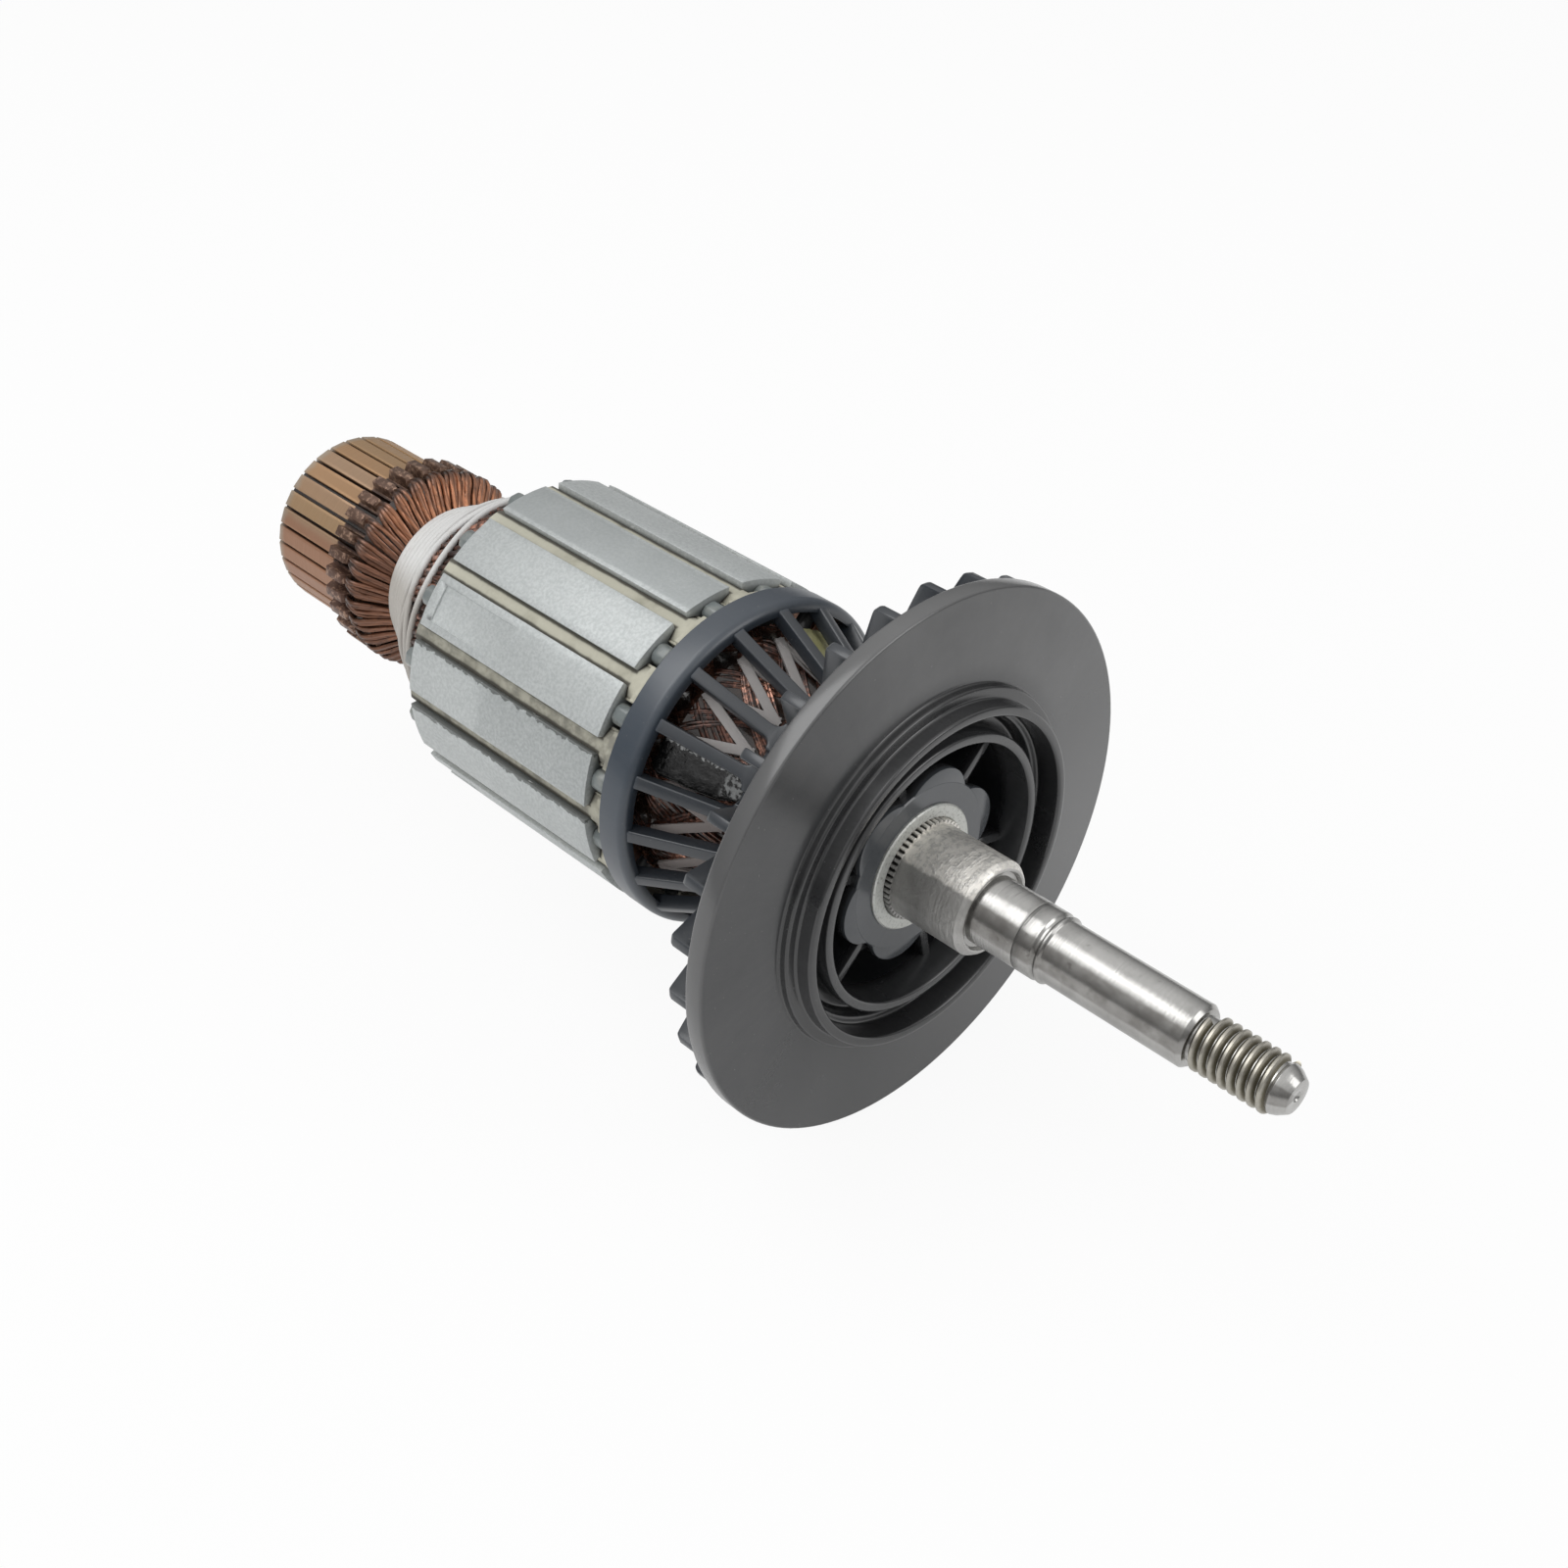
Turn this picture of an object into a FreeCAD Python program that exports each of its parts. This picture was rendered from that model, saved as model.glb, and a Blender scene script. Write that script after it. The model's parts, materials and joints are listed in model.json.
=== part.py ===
import FreeCAD, Part
import math
import os

# Armature of a hand-held power tool, lying along X.
# The origin is on the axis, on the shoulder that the drive-end bearing seats against.
# +X points to the threaded end, +Z is up. Angles run from +Z towards -Y, about +X.
# Sizes are millimetres and degrees.

# Shaft, from the shoulder to the threaded tip
JOURNAL_R = 5.0
JOURNAL_LENGTH = 11.3
SEAT_R = 4.5
SEAT_LENGTH = 22.2
THREAD_R = 3.97
THREAD_LENGTH = 11.9
TIP_LENGTH = 2.2
TIP_R = 2.4
RELIEF_DEPTH = 0.3
RELIEF_WIDTH = 0.9
CENTRE_HOLE_R = 1.0
CENTRE_HOLE_DEPTH = 1.6

# Shaft, from the shoulder back to the commutator end
SLEEVE_R = 7.1
SLEEVE_LENGTH = 12.8
SLEEVE_CHAMFER = 0.9
FACE_GROOVE_DEPTH = 0.6
CORE_SHAFT_R = 7.0
COMMUTATOR_SHAFT_R = 6.0
REAR_JOURNAL_R = 4.0
REAR_JOURNAL_LENGTH = 10.0
KNURL_R = 7.6
KNURL_DEPTH = 0.5
KNURL_TEETH = 50
KNURL_LENGTH = 12.0
KNURL_PROUD = 0.8

# Stations, measured back from the fan's front face
CORE_GAP = 40.15
CORE_LENGTH = 40.35
REAR_HEAD_LENGTH = 21.5
LEAD_LENGTH = 5.9
HOOK_LENGTH = 6.0
BAR_LENGTH = 16.1

# Laminated core
CORE_R = 26.0
TOOTH_COUNT = 15
TOOTH_WAIST = 4.2
SLOT_BOTTOM_R = 13.2
SLOT_OPENING = 2.5
SLOT_PHASE = 15.35
LIP_THICKNESS = 1.1
LIP_SLANT = 1.0
POCKET_DEPTH = 0.4
POCKET_WIDTH = 6.4
POCKET_LENGTH = 16.0
POCKET_START = 2.0
NOTCH_DEPTH = 1.0
NOTCH_WIDTH = 5.4
NOTCH_LENGTH = 9.5

# Insulation
INSULATION_TUBE_WALL = 1.5
LINER_WALL = 0.35
LINER_OVERHANG = 1.5
WEDGE_THICKNESS = 1.9
WEDGE_HEAD_WIDTH = 5.8
WEDGE_HEAD_SEAT = 0.15
SPIDER_THICKNESS = 2.6
SPIDER_TUBE_WALL = 1.7
SPIDER_RING_R = 12.6
SPIDER_ARM_INSET = 0.8
SPIDER_TIP_WIDTH = 3.2

# Winding heads
HEAD_EDGE = 1.4
FRONT_HEAD_CLEARANCE = 3.8
FRONT_HEAD_NOSE_R = 13.6
FRONT_HEAD_LENGTH = 17.2
FRONT_HEAD_CROWN = 5.2
REAR_HEAD_R = 21.0
REAR_HEAD_CROWN = 2.6
REAR_HEAD_NECK_R = 11.9
LACING_WIDTH = 1.4
LACING_THICKNESS = 0.6
LACING_SEAT = 0.3
LACING_START = 6.2
CORD_TURNS = 6
CORD_TURN_WIDTH = 1.6
CORD_THICKNESS = 0.7
LEAD_WIRE_R = 0.8
LEAD_WIRE_LIFT = 1.0
LEAD_SWIRL = 7.0
LEAD_RIM_R = 15.4
LEAD_RIM_LENGTH = 2.2
LEAD_FOOT_R = 11.2

# Commutator
BAR_COUNT = 30
BAR_R = 15.0
BAR_ROOT_R = 11.4
BAR_GAP = 0.55
BAR_PHASE = 10.1
BAR_CHAMFER = 0.9
HOOK_RISE = 1.9
HOOK_WIDTH_SHARE = 0.62
SLIT_DEPTH = 1.1
COMMUTATOR_BUSH_WALL = 1.5
RING_SIZE = 1.4
MOULDING_OVERHANG = 1.0
MOULDING_EDGE = 1.4

# Fan moulding with its guard cage
FAN_R = 41.2
DISC_THICKNESS = 3.0
DISC_EDGE_RADIUS = 0.9
OUTER_RING_R = 25.8
OUTER_RING_HEIGHT = 4.0
OUTER_STEP_WIDTH = 1.7
OUTER_STEP_HEIGHT = 1.4
INNER_RING_HEIGHT = 2.5
RING_WALL = 1.5
VALLEY_DEPTH = 2.0
VALLEY_WIDTH = 1.6
RECESS_DEPTH = 9.0
FLOOR_THICKNESS = 2.2
HUB_WALL = 2.2
HUB_PLATE_THICKNESS = 1.8
HUB_PLATE_DROP = 0.5
LOBE_COUNT = 6
LOBE_REACH_R = 15.2
LOBE_R = 4.3
HUB_PHASE = 11.6
HUB_RIB_WIDTH = 1.5
HUB_RIB_DROP = 1.6
CONE_BACK_R = 17.6
CONE_INSET = 0.8
CONE_WALL = 2.4
CONE_LENGTH = 20.0
GUARD_RING_WALL = 1.8
GUARD_RING_LENGTH = 5.2
GUARD_RING_GAP = 2.95
GUARD_REAR_EDGE = 0.3
GUARD_FRONT_EDGE = 1.5
RIB_COUNT = 18
RIB_WIDTH = 1.9
RIB_DEPTH = 2.2
RIB_PHASE = 7.5
ARCH_R = 1.9
ARCH_INSET = 0.25
BLADE_COUNT = 29
BLADE_THICKNESS = 1.5
BLADE_PHASE = 4.6
BLADE_TIP_R = 40.6
BLADE_TIP_DEPTH = 4.2
BLADE_ROOT_DEPTH = 11.0
BLADE_CORNER = 0.9
FAN_BUSH_WALL = 2.4
FAN_BUSH_LENGTH = 16.0

# Balancing lumps on the front winding head
PUTTY_LENGTH = 12.5
PUTTY_WIDTH = 9.0
PUTTY_HEIGHT = 1.3
PUTTY_TO_NOSE = 6.6
PUTTY_ANGLE = 57.5
RESIN_LENGTH = 7.5
RESIN_WIDTH = 5.5
RESIN_HEIGHT = 1.3
RESIN_TO_NOSE = 4.4
RESIN_ANGLE = -22.5

# Places worked out from the sizes above
fan_face_x = -SLEEVE_LENGTH
disc_back_x = fan_face_x - DISC_THICKNESS
core_front_x = fan_face_x - CORE_GAP
core_rear_x = core_front_x - CORE_LENGTH
front_spider_x = core_front_x + SPIDER_THICKNESS
rear_spider_x = core_rear_x - SPIDER_THICKNESS
guard_rear_x = core_front_x + GUARD_RING_GAP
guard_front_x = guard_rear_x + GUARD_RING_LENGTH
front_head_end_x = front_spider_x + FRONT_HEAD_LENGTH
front_crown_x = front_spider_x + FRONT_HEAD_CROWN
front_nose_x = front_head_end_x - HEAD_EDGE
rear_head_end_x = rear_spider_x - REAR_HEAD_LENGTH
rear_crown_x = rear_spider_x - REAR_HEAD_CROWN
cord_end_x = rear_head_end_x + CORD_TURNS * CORD_TURN_WIDTH
hook_front_x = rear_head_end_x - LEAD_LENGTH
lead_rim_x = hook_front_x + LEAD_RIM_LENGTH
bar_front_x = hook_front_x - HOOK_LENGTH
bar_rear_x = bar_front_x - BAR_LENGTH
moulding_rear_x = bar_rear_x - MOULDING_OVERHANG
seat_x = JOURNAL_LENGTH
thread_x = seat_x + SEAT_LENGTH
thread_end_x = thread_x + THREAD_LENGTH
tip_x = thread_end_x + TIP_LENGTH
core_bore_r = CORE_SHAFT_R + INSULATION_TUBE_WALL
spider_tube_r = core_bore_r + SPIDER_TUBE_WALL
tooth_pitch = 360.0 / TOOTH_COUNT
bar_pitch = 360.0 / BAR_COUNT
lip_inner_r = CORE_R - LIP_THICKNESS
slot_shoulder_r = lip_inner_r - LIP_SLANT
wedge_bottom_r = lip_inner_r - WEDGE_THICKNESS
spider_arm_tip_r = CORE_R - SPIDER_ARM_INSET
guard_ring_r = CORE_R
front_head_r = guard_ring_r - GUARD_RING_WALL - FRONT_HEAD_CLEARANCE
commutator_bush_r = COMMUTATOR_SHAFT_R + COMMUTATOR_BUSH_WALL
fan_bush_r = KNURL_R + FAN_BUSH_WALL
hub_r = fan_bush_r + HUB_WALL
valley_outer_r = OUTER_RING_R - 2 * RING_WALL
inner_ring_r = valley_outer_r - VALLEY_WIDTH
cone_front_r = OUTER_RING_R - CONE_INSET
cone_end_x = fan_face_x - CONE_LENGTH
cone_slope = (cone_front_r - CONE_BACK_R) / (CONE_LENGTH - DISC_THICKNESS)

EDGE_STEPS = 3
ORIGIN = FreeCAD.Vector(0, 0, 0)
AXIS = FreeCAD.Vector(1, 0, 0)


def on_axis(x):
    """Point on the shaft's axis at station x."""
    return FreeCAD.Vector(x, 0, 0)


def polar(x, radius, angle):
    """Point at station x, at a radius and an angle from +Z towards -Y."""
    turn = math.radians(angle)
    return FreeCAD.Vector(x, -radius * math.sin(turn), radius * math.cos(turn))


def turned(outline):
    """Solid of revolution about X from a closed outline of (x, radius) corners."""
    corners = [FreeCAD.Vector(x, 0, radius) for x, radius in outline]
    wire = Part.makePolygon(corners + corners[:1])
    return Part.Face(wire).revolve(ORIGIN, AXIS, 360)


def tube(x_start, x_end, inner_r, outer_r):
    """Plain tube about X between two stations."""
    return turned([(x_start, inner_r), (x_end, inner_r), (x_end, outer_r), (x_start, outer_r)])


def round_edge(face_x, top_r, edge, facing):
    """Corners of a rounded edge, from its outer side to a face that looks along X (1) or back (-1)."""
    corners = []
    for step in range(EDGE_STEPS + 1):
        turn = math.radians(90.0 * step / EDGE_STEPS)
        corners.append((face_x - facing * edge * (1 - math.sin(turn)), top_r - edge * (1 - math.cos(turn))))
    return corners


def plate(outline, x_start, x_end):
    """Prism along X from a closed outline of (across, up) corners, up being +Z."""
    corners = [FreeCAD.Vector(x_start, across, up) for across, up in outline]
    wire = Part.makePolygon(corners + corners[:1])
    return Part.Face(wire).extrude(on_axis(x_end - x_start))


def standing_plate(outline, thickness):
    """Plate across Y from a closed outline of (x, radius) corners, as a blade stands."""
    corners = [FreeCAD.Vector(x, -thickness / 2, radius) for x, radius in outline]
    wire = Part.makePolygon(corners + corners[:1])
    return Part.Face(wire).extrude(FreeCAD.Vector(0, thickness, 0))


def around(shape, count, phase):
    """Copies of a shape made at angle 0, spread evenly about X."""
    copies = []
    for index in range(count):
        copy = shape.copy()
        copy.rotate(ORIGIN, AXIS, phase + index * 360.0 / count)
        copies.append(copy)
    return copies


def joined(base, additions):
    """One solid from a base and what is moulded onto it."""
    return base.fuse(additions).removeSplitter()


def sector_half_width(radius, pitch, parting):
    """Half width at a radius of a sector whose sides keep a parallel parting to the next one."""
    half_pitch = math.radians(pitch / 2)
    return (radius * math.sin(half_pitch) - parting / 2) / math.cos(half_pitch)


def slot_half_width(radius, inset):
    """Half the slot's width at a radius, its walls moved in by an inset."""
    return sector_half_width(radius, tooth_pitch, TOOTH_WAIST + 2 * inset)


def symmetric(points):
    """Closed outline from the (across, up) corners of its right half, bottom first."""
    mirrored = [(-across, up) for across, up in reversed(points)]
    return points + mirrored


def shaft():
    """Turned and ground shaft with its knurl, journals, pinion seat and centre holes."""
    rear_x = moulding_rear_x - REAR_JOURNAL_LENGTH
    step_x = hook_front_x
    relief_x = seat_x - RELIEF_WIDTH
    body = turned([
        (rear_x, 0),
        (rear_x, REAR_JOURNAL_R - RELIEF_DEPTH),
        (rear_x + RELIEF_DEPTH, REAR_JOURNAL_R),
        (moulding_rear_x, REAR_JOURNAL_R),
        (moulding_rear_x, COMMUTATOR_SHAFT_R),
        (step_x, COMMUTATOR_SHAFT_R),
        (step_x, CORE_SHAFT_R),
        (fan_face_x, CORE_SHAFT_R),
        (fan_face_x, SLEEVE_R),
        (-SLEEVE_CHAMFER, SLEEVE_R),
        (0, SLEEVE_R - SLEEVE_CHAMFER),
        (0, JOURNAL_R + FACE_GROOVE_DEPTH),
        (-FACE_GROOVE_DEPTH, JOURNAL_R + FACE_GROOVE_DEPTH),
        (-FACE_GROOVE_DEPTH, JOURNAL_R),
        (relief_x - RELIEF_DEPTH, JOURNAL_R),
        (relief_x, JOURNAL_R - RELIEF_DEPTH),
        (seat_x - RELIEF_DEPTH, JOURNAL_R - RELIEF_DEPTH),
        (seat_x, SEAT_R),
        (thread_x - RELIEF_DEPTH, SEAT_R),
        (thread_x, THREAD_R),
        (thread_end_x, THREAD_R),
        (tip_x - TIP_LENGTH / 4, TIP_R + RELIEF_DEPTH),
        (tip_x, TIP_R),
        (tip_x, 0),
    ])
    knurl = knurl_band()
    front_hole = centre_hole(tip_x, -1)
    rear_hole = centre_hole(rear_x, 1)
    return joined(body, [knurl]).cut([front_hole, rear_hole])


def centre_hole(face_x, inward):
    """Cone drilled on the axis for the grinding centre."""
    start = on_axis(face_x - inward * CENTRE_HOLE_DEPTH)
    direction = on_axis(inward)
    return Part.makeCone(2 * CENTRE_HOLE_R, 0, 2 * CENTRE_HOLE_DEPTH, start, direction)


def knurl_band():
    """Straight knurl that the fan's bush is pressed onto."""
    outline = []
    for tooth in range(KNURL_TEETH):
        for share, radius in ((0.0, KNURL_R), (0.5, KNURL_R - KNURL_DEPTH)):
            turn = math.radians((tooth + share) * 360.0 / KNURL_TEETH)
            outline.append((radius * math.sin(turn), radius * math.cos(turn)))
    x_end = fan_face_x + KNURL_PROUD
    return plate(outline, x_end - KNURL_LENGTH, x_end)


def insulation_tube():
    """Moulded tube between the shaft and the core."""
    return tube(rear_head_end_x, front_head_end_x, CORE_SHAFT_R, core_bore_r)


def core_stack():
    """Stack of steel laminations with open slots and milled balance cuts."""
    blank = tube(core_rear_x, core_front_x, core_bore_r, CORE_R)
    slot = plate(symmetric([
        (slot_half_width(SLOT_BOTTOM_R, 0), SLOT_BOTTOM_R),
        (slot_half_width(slot_shoulder_r, 0), slot_shoulder_r),
        (SLOT_OPENING / 2, lip_inner_r),
        (SLOT_OPENING / 2, CORE_R + LIP_THICKNESS),
    ]), core_rear_x, core_front_x)
    return blank.cut(around(slot, TOOTH_COUNT, SLOT_PHASE) + balance_cuts())


def milled_pocket(width, depth, x_start, x_end, tooth):
    """Flat-bottomed pocket with slanting sides, milled along a tooth counted from the slot phase."""
    half = width / 2
    outline = [
        (-half, CORE_R + depth),
        (-half + depth, CORE_R - depth),
        (half - depth, CORE_R - depth),
        (half, CORE_R + depth),
    ]
    pocket = plate(outline, x_start, x_end)
    pocket.rotate(ORIGIN, AXIS, SLOT_PHASE + (tooth + 0.5) * tooth_pitch)
    return pocket


def balance_cuts():
    """Pockets milled in two teeth when the armature was balanced."""
    side_start = core_rear_x + POCKET_START
    return [
        milled_pocket(POCKET_WIDTH, POCKET_DEPTH, side_start, side_start + POCKET_LENGTH, 1),
        milled_pocket(NOTCH_WIDTH, NOTCH_DEPTH, core_rear_x - NOTCH_DEPTH, core_rear_x + NOTCH_LENGTH, 4),
    ]


def slot_liners():
    """Folded insulating liner in each slot, open towards the wedge."""
    x_start = core_rear_x - LINER_OVERHANG
    x_end = core_front_x + LINER_OVERHANG
    inner_bottom_r = SLOT_BOTTOM_R + LINER_WALL
    outside = plate(symmetric([
        (slot_half_width(SLOT_BOTTOM_R, 0), SLOT_BOTTOM_R),
        (slot_half_width(slot_shoulder_r, 0), slot_shoulder_r),
    ]), x_start, x_end)
    inside = plate(symmetric([
        (slot_half_width(inner_bottom_r, LINER_WALL), inner_bottom_r),
        (slot_half_width(CORE_R, LINER_WALL), CORE_R),
    ]), x_start - LINER_WALL, x_end + LINER_WALL)
    return Part.makeCompound(around(outside.cut(inside), TOOTH_COUNT, SLOT_PHASE))


def slot_conductors():
    """Wire bundle in each slot, one winding head to the other."""
    bottom_r = SLOT_BOTTOM_R + LINER_WALL
    bundle = plate(symmetric([
        (slot_half_width(bottom_r, LINER_WALL), bottom_r),
        (slot_half_width(wedge_bottom_r, LINER_WALL), wedge_bottom_r),
    ]), rear_spider_x, front_spider_x)
    return Part.makeCompound(around(bundle, TOOTH_COUNT, SLOT_PHASE))


def slot_wedges():
    """Closing strip under the tooth lips, with a broad head in front of the liner."""
    head_end = guard_rear_x - WEDGE_HEAD_SEAT
    strip = plate(symmetric([
        (slot_half_width(wedge_bottom_r, LINER_WALL), wedge_bottom_r),
        (slot_half_width(slot_shoulder_r, LINER_WALL), slot_shoulder_r),
        (SLOT_OPENING / 2, lip_inner_r),
    ]), core_rear_x - LINER_OVERHANG, head_end)
    half = WEDGE_HEAD_WIDTH / 2
    head_start = core_front_x + LINER_OVERHANG
    head = plate(symmetric([(half, wedge_bottom_r), (half, lip_inner_r)]), head_start, head_end)
    wedge = joined(strip, [head])
    return Part.makeCompound(around(wedge, TOOTH_COUNT, SLOT_PHASE))


def end_spider(face_x, outward):
    """Insulating end plate with an arm over each tooth and a tube under the winding head."""
    outer_x = face_x + outward * SPIDER_THICKNESS
    head_end_x = front_head_end_x if outward > 0 else rear_head_end_x
    ring = tube(min(face_x, outer_x), max(face_x, outer_x), core_bore_r, SPIDER_RING_R)
    sleeve = tube(min(face_x, head_end_x), max(face_x, head_end_x), core_bore_r, spider_tube_r)
    half = TOOTH_WAIST / 2
    tip_half = SPIDER_TIP_WIDTH / 2
    shoulder_r = wedge_bottom_r - half
    arm = plate(symmetric([
        (half, spider_tube_r),
        (half, shoulder_r),
        (tip_half, wedge_bottom_r),
        (tip_half, spider_arm_tip_r - tip_half / 2),
        (tip_half / 2, spider_arm_tip_r),
    ]), min(face_x, outer_x), max(face_x, outer_x))
    arms = around(arm, TOOTH_COUNT, SLOT_PHASE + tooth_pitch / 2)
    return joined(ring, [sleeve] + arms)


def coil_head_front():
    """Varnished winding head inside the guard cage."""
    return turned([
        (front_spider_x, spider_tube_r),
        (front_spider_x, front_head_r - HEAD_EDGE),
        (front_spider_x + HEAD_EDGE, front_head_r),
        (front_crown_x, front_head_r),
        (front_nose_x, FRONT_HEAD_NOSE_R + HEAD_EDGE),
        (front_head_end_x, FRONT_HEAD_NOSE_R),
        (front_head_end_x, spider_tube_r),
    ])


def coil_head_rear():
    """Varnished winding head between the core and the commutator."""
    return turned([
        (rear_spider_x, spider_tube_r),
        (rear_spider_x, REAR_HEAD_R - HEAD_EDGE),
        (rear_spider_x - HEAD_EDGE, REAR_HEAD_R),
        (rear_crown_x, REAR_HEAD_R),
        (rear_head_end_x, REAR_HEAD_NECK_R),
        (rear_head_end_x, spider_tube_r),
    ])


def neck_radius(x):
    """Radius of the rear winding head's conical side at station x, under the binding cord."""
    share = (x - rear_head_end_x) / (rear_crown_x - rear_head_end_x)
    return REAR_HEAD_NECK_R + share * (REAR_HEAD_R - REAR_HEAD_NECK_R)


def binding_cord():
    """White cord wound side by side round the neck of the rear winding head."""
    steps_per_turn = 2 * EDGE_STEPS
    outline = []
    for step in range(CORD_TURNS * steps_per_turn + 1):
        x = rear_head_end_x + step * CORD_TURN_WIDTH / steps_per_turn
        bulge = abs(math.sin(math.pi * step / steps_per_turn))
        outline.append((x, neck_radius(x) + CORD_THICKNESS / 2 * (1 + bulge)))
    outline.append((cord_end_x, neck_radius(cord_end_x)))
    outline.append((rear_head_end_x, REAR_HEAD_NECK_R))
    return turned(outline)


def lacing_cord():
    """Flat white cord laced to and fro over the front winding head."""
    low_x = front_spider_x + LACING_START
    high_x = front_nose_x - HEAD_EDGE
    runs = []
    step = 180.0 / RIB_COUNT
    for index in range(2 * RIB_COUNT):
        forward = index % 2 == 0
        x_from = low_x if forward else high_x
        x_to = high_x if forward else low_x
        runs.append(lacing_run(x_from, x_to, index * step, step))
    return runs[0].fuse(runs[1:])


def front_head_radius(x):
    """Radius of the front winding head's conical side at station x."""
    share = (x - front_crown_x) / (front_nose_x - front_crown_x)
    return front_head_r + share * (FRONT_HEAD_NOSE_R + HEAD_EDGE - front_head_r)


def lacing_run(x_from, x_to, angle, step):
    """One flat run of the lacing cord between two turning places on the cone."""
    start = polar(x_from, front_head_radius(x_from) + LACING_SEAT, angle)
    end = polar(x_to, front_head_radius(x_to) + LACING_SEAT, angle + step)
    along = (end - start).normalize()
    across = along.cross(polar(0, 1, angle + step / 2)).normalize()
    outward = across.cross(along)
    reach = along * (LACING_WIDTH / 2)
    side = across * (LACING_WIDTH / 2)
    corners = [start - reach - side, start - reach + side, end + reach + side, end + reach - side]
    return Part.Face(Part.makePolygon(corners + corners[:1])).extrude(outward * LACING_THICKNESS)


def lead_cone():
    """Resin-soaked collar under the leads, with a rim at the hooks and a face down to the neck."""
    return turned([
        (hook_front_x, spider_tube_r),
        (hook_front_x, LEAD_RIM_R),
        (lead_rim_x, LEAD_RIM_R),
        (rear_head_end_x, LEAD_FOOT_R),
        (rear_head_end_x, spider_tube_r),
    ])


def lead_wires():
    """Coil ends that run from the hooks over the rim and down to the neck, swirled round the axis."""
    slope = math.atan2(LEAD_RIM_R - LEAD_FOOT_R, rear_head_end_x - lead_rim_x)
    bend_x = lead_rim_x + LEAD_WIRE_LIFT * math.tan(slope / 2)
    wire_r = LEAD_RIM_R + LEAD_WIRE_LIFT
    foot_x = rear_head_end_x - LEAD_WIRE_R
    foot_r = wire_r - (foot_x - bend_x) * math.tan(slope)
    wires = []
    for index in range(BAR_COUNT):
        angle = BAR_PHASE + (index + 0.5) * bar_pitch
        start = polar(hook_front_x, wire_r, angle)
        bend = polar(bend_x, wire_r, angle)
        foot = polar(foot_x, foot_r, angle + LEAD_SWIRL)
        path = Part.makePolygon([start, bend, foot])
        section = Part.Wire(Part.makeCircle(LEAD_WIRE_R, start, AXIS))
        wires.append(path.makePipeShell([section], True, False, 1))
    return Part.makeCompound(wires)


def commutator_bars():
    """Copper bars with the hooks that the leads are fused into."""
    crown_r = BAR_R * math.cos(math.radians(bar_pitch / 2))
    root_half = sector_half_width(BAR_ROOT_R, bar_pitch, BAR_GAP)
    face_half = sector_half_width(crown_r, bar_pitch, BAR_GAP)
    section = [(root_half, BAR_ROOT_R), (face_half, crown_r), (face_half / 2, BAR_R - RELIEF_DEPTH / 4)]
    bar = plate(symmetric(section), bar_rear_x, hook_front_x)
    chamfer = standing_plate([
        (bar_rear_x, BAR_R - BAR_CHAMFER),
        (bar_rear_x, BAR_R + BAR_CHAMFER),
        (bar_rear_x + BAR_CHAMFER, BAR_R + BAR_CHAMFER),
        (bar_rear_x + BAR_CHAMFER, BAR_R),
    ], 4 * face_half)
    hook = standing_plate([
        (bar_front_x, crown_r - RELIEF_DEPTH),
        (bar_front_x + HOOK_RISE / 2, BAR_R + HOOK_RISE),
        (hook_front_x - HOOK_RISE / 2, BAR_R + HOOK_RISE),
        (hook_front_x, BAR_R),
        (hook_front_x, crown_r - RELIEF_DEPTH),
    ], 2 * face_half * HOOK_WIDTH_SHARE)
    piece = joined(bar.cut(chamfer), [hook])
    return Part.makeCompound(around(piece, BAR_COUNT, BAR_PHASE + bar_pitch / 2))


def bar_insulation():
    """Thin insulating strips between the bars, undercut below their faces."""
    half = BAR_GAP / 2
    strip = plate(symmetric([(half, BAR_ROOT_R), (half, BAR_R - SLIT_DEPTH)]), bar_rear_x, hook_front_x)
    return Part.makeCompound(around(strip, BAR_COUNT, BAR_PHASE))


def commutator_moulding():
    """Phenolic body that holds the bars on the bush, with room for two rings."""
    body = turned([
        (moulding_rear_x, commutator_bush_r),
        (moulding_rear_x, BAR_ROOT_R - MOULDING_EDGE),
        (bar_rear_x, BAR_ROOT_R),
        (hook_front_x, BAR_ROOT_R * math.cos(math.radians(bar_pitch / 2))),
        (hook_front_x, commutator_bush_r),
    ])
    return body.cut(ring_pair())


def ring_pair():
    """The two reinforcing rings buried in the commutator's moulding."""
    inner_r = commutator_bush_r + RING_SIZE / 2
    rings = []
    for centre_x in (bar_rear_x + 2 * RING_SIZE, hook_front_x - 2 * RING_SIZE):
        rings.append(tube(centre_x - RING_SIZE / 2, centre_x + RING_SIZE / 2, inner_r, inner_r + RING_SIZE))
    return rings


def commutator_rings():
    """Steel rings that keep the bars from lifting at speed."""
    return Part.makeCompound(ring_pair())


def commutator_bush():
    """Metal bush of the commutator, pressed on the shaft."""
    return tube(moulding_rear_x, hook_front_x, COMMUTATOR_SHAFT_R, commutator_bush_r)


def commutator_spacer():
    """Insulating collar on the shaft between the commutator and the winding."""
    return tube(hook_front_x, rear_head_end_x, CORE_SHAFT_R, spider_tube_r)


def fan_bush():
    """Metal insert of the fan, pressed on the knurl."""
    return tube(fan_face_x - FAN_BUSH_LENGTH, fan_face_x, KNURL_R, fan_bush_r)


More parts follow.
